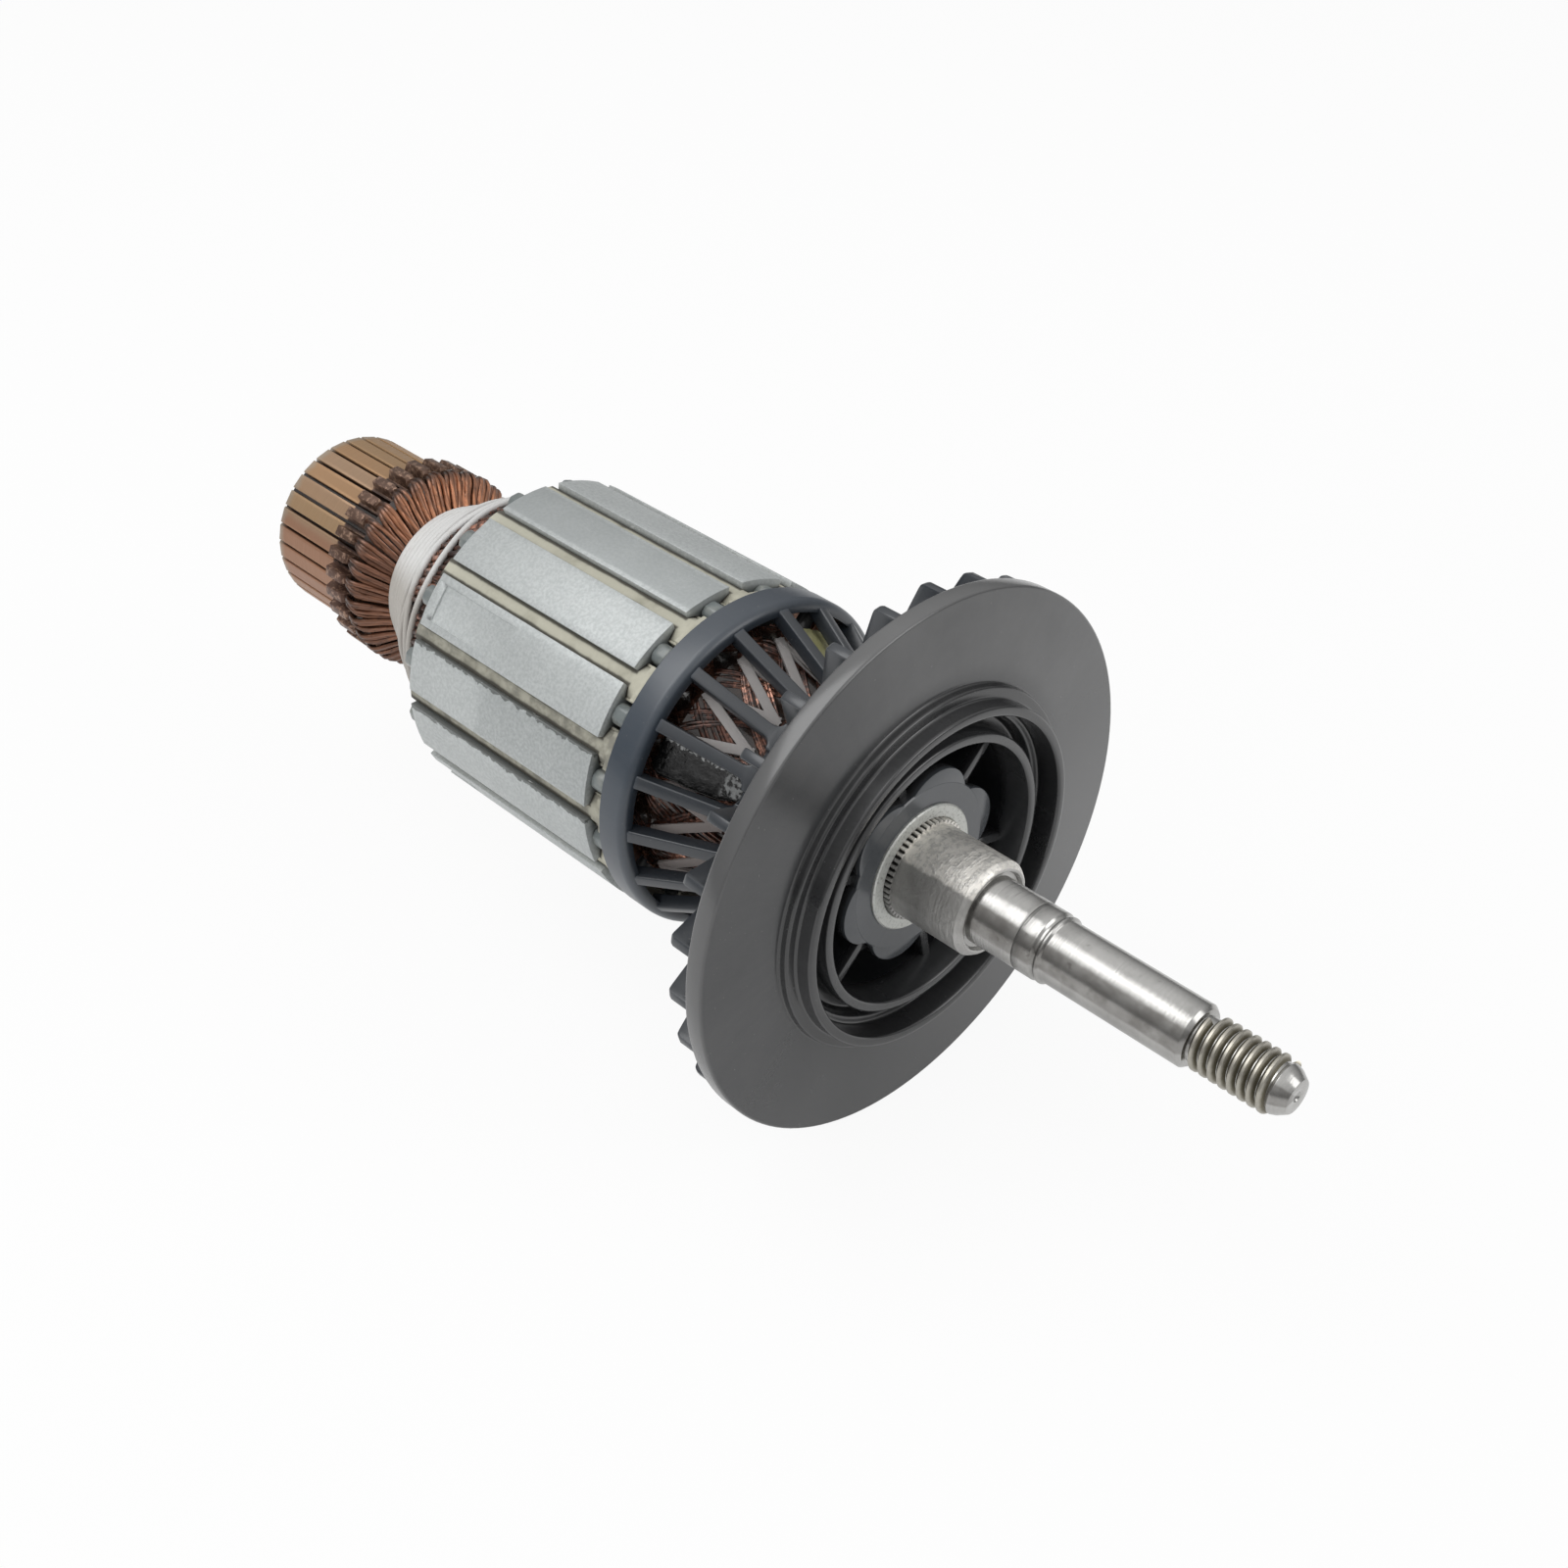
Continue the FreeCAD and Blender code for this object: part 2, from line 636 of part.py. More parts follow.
def fan_body():
    """Disc, rings, recess floor, hub and cone of the fan as one turned section."""
    face = fan_face_x
    floor_x = face - RECESS_DEPTH
    floor_back_x = floor_x - FLOOR_THICKNESS
    edge = DISC_EDGE_RADIUS
    disc_edge = round_edge(face, FAN_R, edge, 1)
    return turned([
        (face - FAN_BUSH_LENGTH, fan_bush_r),
        (face - HUB_PLATE_DROP, fan_bush_r),
        (face - HUB_PLATE_DROP, hub_r),
        (floor_x, hub_r),
        (floor_x, inner_ring_r - RING_WALL),
        (face + INNER_RING_HEIGHT, inner_ring_r - RING_WALL),
        (face + INNER_RING_HEIGHT, inner_ring_r - edge / 2),
        (face + INNER_RING_HEIGHT - edge / 2, inner_ring_r),
        (face - VALLEY_DEPTH, inner_ring_r),
        (face - VALLEY_DEPTH, valley_outer_r),
        (face, valley_outer_r + edge / 2),
        (face, OUTER_RING_R - RING_WALL),
        (face + OUTER_RING_HEIGHT, OUTER_RING_R - RING_WALL),
        (face + OUTER_RING_HEIGHT, OUTER_RING_R - edge / 2),
        (face + OUTER_RING_HEIGHT - edge / 2, OUTER_RING_R),
        (face + OUTER_STEP_HEIGHT, OUTER_RING_R),
        (face + OUTER_STEP_HEIGHT, OUTER_RING_R + OUTER_STEP_WIDTH - edge / 2),
        (face + OUTER_STEP_HEIGHT - edge / 2, OUTER_RING_R + OUTER_STEP_WIDTH),
        (face, OUTER_RING_R + OUTER_STEP_WIDTH),
    ] + disc_edge[::-1] + [
        (disc_back_x, FAN_R),
        (disc_back_x, cone_front_r),
        (cone_end_x, CONE_BACK_R),
        (cone_end_x, CONE_BACK_R - CONE_WALL),
        (floor_back_x, inner_ring_r - RING_WALL - CONE_WALL / 2),
        (floor_back_x, hub_r),
        (face - FAN_BUSH_LENGTH, hub_r),
    ])


def hub_plate():
    """Six-lobed plate that ties the hub to the ribs in the recess."""
    front_x = fan_face_x - HUB_PLATE_DROP
    back_x = front_x - HUB_PLATE_THICKNESS
    disc = tube(back_x, front_x, fan_bush_r, hub_r)
    lobe = Part.makeCylinder(LOBE_R, HUB_PLATE_THICKNESS, polar(back_x, LOBE_REACH_R - LOBE_R, 0), AXIS)
    core = Part.makeCylinder(fan_bush_r, HUB_PLATE_THICKNESS, on_axis(back_x), AXIS)
    lobes = [piece.cut(core) for piece in around(lobe, LOBE_COUNT, HUB_PHASE + 180.0 / LOBE_COUNT)]
    return disc.fuse(lobes)


def hub_ribs():
    """Six radial ribs in the recess, from the hub to the inner ring."""
    front_x = fan_face_x - HUB_RIB_DROP
    rib = standing_plate([
        (fan_face_x - RECESS_DEPTH - FLOOR_THICKNESS / 2, hub_r - HUB_WALL / 2),
        (front_x, hub_r - HUB_WALL / 2),
        (front_x, inner_ring_r - RING_WALL / 2),
        (fan_face_x - RECESS_DEPTH - FLOOR_THICKNESS / 2, inner_ring_r - RING_WALL / 2),
    ], HUB_RIB_WIDTH)
    return around(rib, LOBE_COUNT, HUB_PHASE)


def guard_ring():
    """Ring of the cage that stands over the front of the core."""
    inner_r = guard_ring_r - GUARD_RING_WALL
    rear_edge = round_edge(guard_rear_x, guard_ring_r, GUARD_REAR_EDGE, -1)
    front_edge = round_edge(guard_front_x, guard_ring_r, GUARD_FRONT_EDGE, 1)
    return turned([(guard_rear_x, inner_r)] + rear_edge[::-1] + front_edge + [(guard_front_x, inner_r)])


def rib_top():
    """Outline corners of a rib's outer side, from the guard ring to its foot on the cone."""
    top_r = guard_ring_r - GUARD_FRONT_EDGE / 3
    return [
        (guard_front_x - GUARD_FRONT_EDGE, top_r),
        (guard_front_x, top_r),
        (cone_end_x + RIB_DEPTH, CONE_BACK_R + cone_slope * RIB_DEPTH),
    ]


def cage_ribs():
    """Slanting ribs from the guard ring down to the cone of the fan."""
    ring_seat, shoulder, foot = rib_top()
    rib = standing_plate([
        (ring_seat[0], ring_seat[1] - RIB_DEPTH),
        ring_seat,
        shoulder,
        foot,
        (foot[0], foot[1] - CONE_WALL / 2),
        (cone_end_x, CONE_BACK_R - CONE_WALL / 2 - RIB_DEPTH / 2),
    ], RIB_WIDTH)
    return around(rib, RIB_COUNT, RIB_PHASE)


def window_collar():
    """Collar at the foot of the ribs, set in below their tops and scooped to an arch in each window."""
    _, shoulder, foot = rib_top()
    slope = (shoulder[1] - foot[1]) / (foot[0] - shoulder[0])
    foot_r = foot[1] - ARCH_INSET
    arch_x = cone_end_x - ARCH_R
    arch_r = foot_r + slope * (foot[0] - arch_x)
    collar = turned([
        (cone_end_x, CONE_BACK_R - CONE_WALL + ARCH_INSET),
        (arch_x, arch_r - RIB_DEPTH),
        (arch_x, arch_r),
        (foot[0], foot_r),
        (foot[0], foot_r - CONE_WALL / 2),
    ])
    start = polar(arch_x, CONE_BACK_R - CONE_WALL - RIB_DEPTH, 0)
    scoop = Part.makeCylinder(ARCH_R, CONE_BACK_R, start, FreeCAD.Vector(0, 0, 1))
    return collar.cut(around(scoop, RIB_COUNT, RIB_PHASE + 180.0 / RIB_COUNT))


def blades():
    """Radial blades on the back of the disc."""
    root_x = disc_back_x - BLADE_ROOT_DEPTH
    root_r = cone_front_r - cone_slope * BLADE_ROOT_DEPTH
    seat_x_in_disc = disc_back_x + DISC_THICKNESS / 3
    blade = standing_plate([
        (seat_x_in_disc, cone_front_r - CONE_WALL / 2),
        (seat_x_in_disc, BLADE_TIP_R - BLADE_CORNER),
        (disc_back_x, BLADE_TIP_R),
        (disc_back_x - BLADE_TIP_DEPTH + BLADE_CORNER, BLADE_TIP_R),
        (disc_back_x - BLADE_TIP_DEPTH, BLADE_TIP_R - BLADE_CORNER),
        (root_x, root_r),
        (root_x, root_r - CONE_WALL / 2),
    ], BLADE_THICKNESS)
    return around(blade, BLADE_COUNT, BLADE_PHASE)


def fan():
    """Fan moulding in one piece: disc, blades, hub, cone and guard cage."""
    body = fan_body()
    parts = [hub_plate(), guard_ring(), window_collar()] + hub_ribs() + cage_ribs() + blades()
    return joined(body, parts)


def balance_lump(length, width, height, to_nose, angle):
    """Flattened lump pressed onto the cone of the front winding head, half of it sunk in."""
    centre_x = front_head_end_x - to_nose
    surface_r = front_head_radius(centre_x)
    slope = math.degrees(math.atan2(surface_r - front_head_radius(centre_x + 1), 1))
    dome = Part.makeSphere(1.0, ORIGIN, FreeCAD.Vector(0, 0, 1), -90, 90, 360)
    stretch = FreeCAD.Matrix()
    stretch.scale(length / 2, width / 2, 2 * height)
    lump = dome.transformGeometry(stretch)
    lump.rotate(ORIGIN, FreeCAD.Vector(0, 1, 0), slope)
    lump.translate(FreeCAD.Vector(centre_x, 0, surface_r - height))
    lump.rotate(ORIGIN, AXIS, angle)
    return lump.cut([coil_head_front(), lacing_cord()])


def putty_lump():
    """Black balancing putty behind a window of the cage."""
    return balance_lump(PUTTY_LENGTH, PUTTY_WIDTH, PUTTY_HEIGHT, PUTTY_TO_NOSE, PUTTY_ANGLE)


def resin_lump():
    """Olive drop of resin behind a window of the cage."""
    return balance_lump(RESIN_LENGTH, RESIN_WIDTH, RESIN_HEIGHT, RESIN_TO_NOSE, RESIN_ANGLE)


def build_nodes():
    """Every separate piece of the armature, by the name of its node."""
    return {
        "shaft": shaft(),
        "shaft_insulation_tube": insulation_tube(),
        "core_stack": core_stack(),
        "slot_liners": slot_liners(),
        "slot_conductors": slot_conductors(),
        "slot_wedges": slot_wedges(),
        "end_spider_front": end_spider(core_front_x, 1),
        "end_spider_rear": end_spider(core_rear_x, -1),
        "coil_head_front": coil_head_front(),
        "coil_head_rear": coil_head_rear(),
        "lacing_cord_front": lacing_cord(),
        "binding_cord_rear": binding_cord(),
        "lead_cone": lead_cone(),
        "lead_wires": lead_wires(),
        "commutator_bars": commutator_bars(),
        "bar_insulation": bar_insulation(),
        "commutator_moulding": commutator_moulding(),
        "commutator_rings": commutator_rings(),
        "commutator_bush": commutator_bush(),
        "commutator_spacer": commutator_spacer(),
        "fan": fan(),
        "fan_bush": fan_bush(),
        "putty_lump": putty_lump(),
        "resin_lump": resin_lump(),
    }


def main():
    """Write each node's solids to a STEP file of its own."""
    os.makedirs("parts", exist_ok=True)
    for name, shape in build_nodes().items():
        shape.exportStep(os.path.join("parts", name + ".step"))


main()
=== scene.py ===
import json
import logging
import math
from dataclasses import dataclass, field
from enum import Enum

import bpy
from mathutils import Matrix, Vector

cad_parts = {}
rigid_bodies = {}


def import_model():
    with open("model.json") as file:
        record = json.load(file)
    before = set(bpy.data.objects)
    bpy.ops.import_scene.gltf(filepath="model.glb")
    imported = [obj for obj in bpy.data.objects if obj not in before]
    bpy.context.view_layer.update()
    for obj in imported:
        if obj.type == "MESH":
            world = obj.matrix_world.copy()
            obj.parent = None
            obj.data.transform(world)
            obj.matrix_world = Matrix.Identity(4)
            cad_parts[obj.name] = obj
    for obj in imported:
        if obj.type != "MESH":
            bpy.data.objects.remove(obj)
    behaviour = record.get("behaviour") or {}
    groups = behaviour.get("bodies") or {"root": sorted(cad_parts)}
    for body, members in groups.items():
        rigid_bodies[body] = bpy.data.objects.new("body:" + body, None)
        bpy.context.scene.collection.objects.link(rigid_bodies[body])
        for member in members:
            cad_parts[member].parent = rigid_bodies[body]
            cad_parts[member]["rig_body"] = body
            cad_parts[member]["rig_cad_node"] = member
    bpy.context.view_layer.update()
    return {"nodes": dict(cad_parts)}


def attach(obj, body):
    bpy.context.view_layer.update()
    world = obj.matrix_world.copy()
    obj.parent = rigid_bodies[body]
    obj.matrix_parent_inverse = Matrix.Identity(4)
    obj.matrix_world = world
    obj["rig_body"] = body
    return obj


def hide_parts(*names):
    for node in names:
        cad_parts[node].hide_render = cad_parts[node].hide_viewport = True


logging.basicConfig(level=logging.INFO, format="%(message)s")
LOG = logging.getLogger("armature")

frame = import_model()

MM = 0.001
TURN = 2 * math.pi
Outline = list[tuple[float, float]]
Colour = tuple[float, float, float]
Span = tuple[float, float]


class Slot(Enum):
    """Material slots of the armature's record."""

    STEEL = "ground_steel"
    LAMINATION = "lamination_steel"
    BUSH = "bush_metal"
    COMMUTATOR = "commutator_copper"
    WIRE = "winding_copper"
    PAPER = "slot_insulation"
    PLASTIC = "insulating_plastic"
    CORD = "white_cord"
    VARNISH = "dark_varnish"
    PHENOLIC = "phenolic"
    FAN = "fan_plastic"
    PUTTY = "black_putty"
    RESIN = "olive_resin"


# Geometry


def polar(x: float, radius: float, angle: float) -> Vector:
    """Give a point round the shaft.

    Args:
        x: Station along the shaft in millimetres.
        radius: Distance from the shaft's axis in millimetres.
        angle: Degrees from straight up, towards the camera's side.

    Returns:
        The point in metres.
    """
    turn = math.radians(angle)
    return Vector((x, -radius * math.sin(turn), radius * math.cos(turn))) * MM


def tangent(angle: float) -> Vector:
    """Give the unit direction in which the angle grows."""
    turn = math.radians(angle)
    return Vector((0, -math.cos(turn), -math.sin(turn)))


def clear_selection() -> None:
    """Leave edit mode and deselect every object."""
    if bpy.context.mode != "OBJECT":
        bpy.ops.object.mode_set(mode="OBJECT")
    bpy.ops.object.select_all(action="DESELECT")


def choose(*pieces: bpy.types.Object) -> None:
    """Select only these pieces and make the first one active.

    Args:
        *pieces: The pieces to select.
    """
    clear_selection()
    for piece in pieces:
        piece.select_set(True)
    bpy.context.view_layer.objects.active = pieces[0]


def edit_all(piece: bpy.types.Object) -> None:
    """Enter edit mode on a piece with everything in it selected.

    Args:
        piece: The piece to edit.
    """
    choose(piece)
    bpy.ops.object.mode_set(mode="EDIT")
    bpy.ops.mesh.select_mode(type="VERT")
    bpy.ops.mesh.select_all(action="SELECT")


def close_up(piece: bpy.types.Object, gap: float = 0.004) -> None:
    """Merge what meets in a piece and turn its faces outwards.

    Args:
        piece: The piece, in any mode.
        gap: Distance in millimetres under which corners are one.
    """
    edit_all(piece)
    bpy.ops.mesh.remove_doubles(threshold=gap * MM)
    bpy.ops.mesh.normals_make_consistent(inside=False)
    bpy.ops.object.mode_set(mode="OBJECT")


def draw(name: str, corners: list[Vector]) -> bpy.types.Object:
    """Draw a chain of edges, one extruded corner after the other.

    Args:
        name: Name of the new piece.
        corners: Points of the chain in metres.

    Returns:
        The piece, in edit mode with its last corner selected.
    """
    clear_selection()
    bpy.ops.mesh.primitive_plane_add(size=MM)
    piece = bpy.context.object
    piece.name = piece.data.name = name
    bpy.ops.object.mode_set(mode="EDIT")
    bpy.ops.mesh.select_mode(type="VERT")
    bpy.ops.mesh.select_all(action="SELECT")
    bpy.ops.mesh.merge(type="CENTER")
    bpy.ops.transform.translate(value=corners[0])
    for before, corner in zip(corners, corners[1:]):
        bpy.ops.mesh.extrude_region_move(TRANSFORM_OT_translate={"value": corner - before})
    return piece


def turn_piece(name: str, outline: Outline, steps: int) -> bpy.types.Object:
    """Spin a section round the shaft's axis.

    Args:
        name: Name of the new piece.
        outline: Closed section as (x, radius) corners in millimetres.
        steps: Facets round the axis.

    Returns:
        The closed turned piece.
    """
    corners = [Vector((x, 0, radius)) * MM for x, radius in outline]
    if outline[0][1] > 0 or outline[-1][1] > 0:
        corners.append(corners[0])
    piece = draw(name, corners)
    bpy.ops.mesh.select_all(action="SELECT")
    bpy.ops.mesh.spin(steps=steps, angle=TURN, center=(0, 0, 0), axis=(1, 0, 0))
    close_up(piece)
    return piece


def plate_piece(name: str, corners: list[Vector], push: Vector) -> bpy.types.Object:
    """Fill an outline and pull it out to a plate.

    Args:
        name: Name of the new piece.
        corners: Flat outline in metres.
        push: Way and distance of the pull in metres.

    Returns:
        The closed plate.
    """
    piece = draw(name, corners)
    bpy.ops.mesh.select_all(action="SELECT")
    bpy.ops.mesh.edge_face_add()
    bpy.ops.mesh.extrude_region_move(TRANSFORM_OT_translate={"value": push})
    close_up(piece)
    return piece


def apply(piece: bpy.types.Object, kind: str, **settings: object) -> None:
    """Add one modifier to a piece and apply it.

    Args:
        piece: The piece to change.
        kind: Type of the modifier.
        **settings: Values of the modifier.
    """
    choose(piece)
    modifier = piece.modifiers.new(kind.title(), kind)
    for key, value in settings.items():
        setattr(modifier, key, value)
    bpy.ops.object.modifier_apply(modifier=modifier.name)


def soften(piece: bpy.types.Object, width: float, segments: int = 2, angle: float = 30) -> None:
    """Round the sharp edges of a piece and shade it smooth between them.

    Args:
        piece: The piece to finish.
        width: Width of the rounding in millimetres.
        segments: Steps in each rounding.
        angle: Edges sharper than this many degrees are rounded.
    """
    limit = math.radians(angle)
    apply(piece, "BEVEL", width=width * MM, segments=segments, limit_method="ANGLE", angle_limit=limit)
    smooth(piece)


def smooth(piece: bpy.types.Object, angle: float = 40) -> None:
    """Shade a piece smooth but for edges sharper than an angle in degrees."""
    choose(piece)
    bpy.ops.object.shade_smooth_by_angle(angle=math.radians(angle))


def ring_copies(piece: bpy.types.Object, count: int) -> None:
    """Repeat a piece evenly round the shaft within its own mesh.

    Args:
        piece: The piece to repeat.
        count: Copies in the whole ring, the first one included.
    """
    edit_all(piece)
    angle = TURN * (count - 1) / count
    bpy.ops.mesh.spin(steps=count - 1, dupli=True, angle=angle, center=(0, 0, 0), axis=(1, 0, 0))
    bpy.ops.object.mode_set(mode="OBJECT")


def join(name: str, pieces: list[bpy.types.Object]) -> bpy.types.Object:
    """Join pieces into one.

    Args:
        name: Name of the whole.
        pieces: Its parts.

    Returns:
        The whole.
    """
    choose(*pieces)
    bpy.ops.object.join()
    pieces[0].name = pieces[0].data.name = name
    return pieces[0]


def strands(name: str, paths: list[list[Vector]], radius: float, sides: int = 6) -> bpy.types.Object:
    """Lay round wires or cords along paths.

    Args:
        name: Name of the new piece.
        paths: Points of each centreline in metres.
        radius: Wire radius in millimetres.
        sides: Facets round each wire, an even number from 4.

    Returns:
        One piece that holds all the strands, with closed ends.
    """
    clear_selection()
    curve = bpy.data.curves.new(name, "CURVE")
    curve.dimensions = "3D"
    curve.bevel_depth = radius * MM
    curve.bevel_resolution = sides // 2 - 2
    curve.use_fill_caps = True
    for path in paths:
        spline = curve.splines.new("POLY")
        spline.points.add(len(path) - 1)
        for point, place in zip(spline.points, path):
            point.co = (*place, 1)
    piece = bpy.data.objects.new(name, curve)
    bpy.context.scene.collection.objects.link(piece)
    choose(piece)
    bpy.ops.object.convert(target="MESH")
    piece = bpy.context.object
    piece.data.name = name
    close_up(piece, 0.002)
    smooth(piece, 60)
    return piece


def fine_copy(node: str, name: str) -> bpy.types.Object:
    """Copy a solid of the frame, with its loose facets merged into clean faces.

    Args:
        node: Name of the solid.
        name: Name of the new piece.

    Returns:
        The new piece, which shares nothing with the solid.
    """
    source = frame["nodes"][node]
    piece = source.copy()
    piece.data = source.data.copy()
    piece.name = piece.data.name = name
    piece.parent = None
    piece.matrix_world = Matrix.Identity(4)
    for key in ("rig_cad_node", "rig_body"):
        del piece[key]
    bpy.context.scene.collection.objects.link(piece)
    close_up(piece, 0.001)
    edit_all(piece)
    bpy.ops.mesh.dissolve_limited(angle_limit=math.radians(0.5))
    bpy.ops.object.mode_set(mode="OBJECT")
    return piece


def place(piece: bpy.types.Object, slot: Slot, material: bpy.types.Material, *nodes: str) -> None:
    """Dress a new piece and set it on the armature.

    Args:
        piece: The finished piece.
        slot: Material slot of the record; not used.
        material: Its finish.
        *nodes: Solids that it stands for.
    """
    piece.data.materials.clear()
    piece.data.materials.append(material)
    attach(piece, "root")
    if nodes:
        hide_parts(*nodes)
    LOG.info("%s: %d faces", piece.name, len(piece.data.polygons))


def dress_solid(node: str, material: bpy.types.Material) -> None:
    """Give a solid of the frame its finish.

    Args:
        node: Name of the solid.
        material: Its finish.
    """
    solid = frame["nodes"][node]
    solid.data.materials.clear()
    solid.data.materials.append(material)
    LOG.info("%s dressed", node)


# Finishes


class Value:
    """One number over a surface, with arithmetic that adds Math nodes."""

    def __init__(self, graph: "Graph", socket: bpy.types.NodeSocket) -> None:
        """Wrap a socket of a graph."""
        self.graph = graph
        self.socket = socket

    def math(self, operation: str, other: "Value | float" = 0.0, swap: bool = False) -> "Value":
        """Join this value and another by a Math node.

        Args:
            operation: Name of the operation.
            other: The second operand.
            swap: Whether the other one comes first.

        Returns:
            The result.
        """
        pair = (other, self) if swap else (self, other)
        node = self.graph.add("ShaderNodeMath", {"operation": operation}, {0: pair[0], 1: pair[1]})
        return Value(self.graph, node.outputs[0])

    def __add__(self, other: "Value | float") -> "Value":
        """Sum."""
        return self.math("ADD", other)

    def __radd__(self, other: float) -> "Value":
        """Sum with a number in front."""
        return self.math("ADD", other)

    def __sub__(self, other: "Value | float") -> "Value":
        """Difference."""
        return self.math("SUBTRACT", other)

    def __rsub__(self, other: float) -> "Value":
        """Difference from a number."""
        return self.math("SUBTRACT", other, swap=True)

    def __mul__(self, other: "Value | float") -> "Value":
        """Product."""
        return self.math("MULTIPLY", other)

    def __truediv__(self, other: "Value | float") -> "Value":
        """Quotient."""
        return self.math("DIVIDE", other)

    def step(self, low: float, high: float) -> "Value":
        """Rise smoothly from 0 to 1 between two limits.

        Args:
            low: Where it starts to rise.
            high: Where it reaches 1.

        Returns:
            The share.
        """
        settings = {"interpolation_type": "SMOOTHSTEP"}
        sockets = {"Value": self, "From Min": low, "From Max": high, "To Min": 0.0, "To Max": 1.0}
        node = self.graph.add("ShaderNodeMapRange", settings, sockets)
        return Value(self.graph, node.outputs["Result"])

    def step_mm(self, low: float, high: float) -> "Value":
        """Rise smoothly from 0 to 1 between two limits in millimetres."""
        return self.step(low * MM, high * MM)

    def between(self, low: float, high: float, blur: float) -> "Value":
        """Be 1 between two limits and fall to 0 over a blur outside them."""
        return self.step(low - blur, low) * (1 - self.step(high, high + blur))

    def between_mm(self, low: float, high: float, blur: float) -> "Value":
        """Be 1 between two limits and fall to 0 over a blur outside them, all in millimetres."""
        return self.between(low * MM, high * MM, blur * MM)


class Graph:
    """Node graph of one material, on the piece's own coordinates."""

    def __init__(self, name: str) -> None:
        """Start an empty material.

        Args:
            name: Name of the material.
        """
        self.material = bpy.data.materials.new(name)
        self.material.use_nodes = True
        self.tree = self.material.node_tree
        self.tree.nodes.clear()
        coordinates = self.add("ShaderNodeTexCoord", {}, {})
        self.place = coordinates.outputs["Object"]
        split = self.add("ShaderNodeSeparateXYZ", {}, {"Vector": self.place})
        self.x, self.y, self.z = (Value(self, split.outputs[axis]) for axis in range(3))
        self.radius = (self.y * self.y + self.z * self.z).math("SQRT")
        self.angle = (0 - self.y).math("ARCTAN2", self.z) * (180 / math.pi)

    def add(self, kind: str, settings: dict, sockets: dict) -> bpy.types.Node:
        """Add a node.

        Args:
            kind: Type of the node.
            settings: Its properties, which are set first.
            sockets: Values or links of its inputs, by name or number.

        Returns:
            The node.
        """
        node = self.tree.nodes.new(kind)
        for key, value in settings.items():
            setattr(node, key, value)
        for key, value in sockets.items():
            if isinstance(value, Value):
                value = value.socket
            if isinstance(value, bpy.types.NodeSocket):
                self.tree.links.new(value, node.inputs[key])
            else:
                node.inputs[key].default_value = value
        return node

    def stretched(self, scale: tuple[float, float, float]) -> bpy.types.NodeSocket:
        """Give the piece's coordinates stretched along each axis."""
        settings = {"operation": "MULTIPLY"}
        return self.add("ShaderNodeVectorMath", settings, {0: self.place, 1: scale}).outputs[0]

    def around(self, lengthwise: float, across: float) -> bpy.types.NodeSocket:
        """Give coordinates on the unrolled barrel, as x and the angle.

        Args:
            lengthwise: Stretch along the shaft.
            across: Stretch round the shaft, per degree.

        Returns:
            A vector socket.
        """
        sockets = {0: self.x * lengthwise, 1: self.angle * across, 2: self.radius * lengthwise}
        return self.add("ShaderNodeCombineXYZ", {}, sockets).outputs[0]

    def noise(self, scale: float, detail: float, vector: bpy.types.NodeSocket | None = None) -> Value:
        """Give soft noise from 0 to 1.

        Args:
            scale: Bumps per unit of the vector.
            detail: How fine it breaks up.
            vector: Where it is read, by default the piece's own coordinates.

        Returns:
            The noise.
        """
        sockets = {"Vector": vector or self.place, "Scale": scale, "Detail": detail, "Roughness": 0.6}
        return Value(self, self.add("ShaderNodeTexNoise", {}, sockets).outputs["Fac"])

    def random(self, number: Value) -> Value:
        """Give a random value for each whole number.

        Args:
            number: The whole number.

        Returns:
            A value from 0 to 1.
        """
        settings = {"noise_dimensions": "1D"}
        node = self.add("ShaderNodeTexWhiteNoise", settings, {"W": number})
        return Value(self, node.outputs["Value"])

    def mix(self, share: "Value | float", first: object, second: object) -> bpy.types.NodeSocket:
        """Mix two colours.

        Args:
            share: Share of the second one.
            first: Colour or socket.
            second: Colour or socket.

        Returns:
            The mixed colour.
        """
        colours = [(*c, 1.0) if isinstance(c, tuple) and len(c) == 3 else c for c in (first, second)]
        sockets = {0: share, 6: colours[0], 7: colours[1]}
        return self.add("ShaderNodeMix", {"data_type": "RGBA"}, sockets).outputs[2]

    def bump(self, height: Value, depth: float, strength: float) -> bpy.types.NodeSocket:
        """Turn a height from 0 to 1 into a bumped normal.

        Args:
            height: The height.
            depth: Its depth in millimetres.
            strength: Share of the bump that shows.

        Returns:
            The bumped normal.
        """
        sockets = {"Height": height, "Distance": depth * MM, "Strength": strength}
        return self.add("ShaderNodeBump", {}, sockets).outputs["Normal"]

    def surface(self, **sockets: object) -> bpy.types.Material:
        """Close the graph with a shader.

        Args:
            **sockets: Inputs of the shader, with underscores for spaces.

        Returns:
            The finished material.
        """
        named = {key.replace("_", " "): value for key, value in sockets.items()}
        shader = self.add("ShaderNodeBsdfPrincipled", {}, named)
        self.add("ShaderNodeOutputMaterial", {}, {"Surface": shader.outputs[0]})
        return self.material


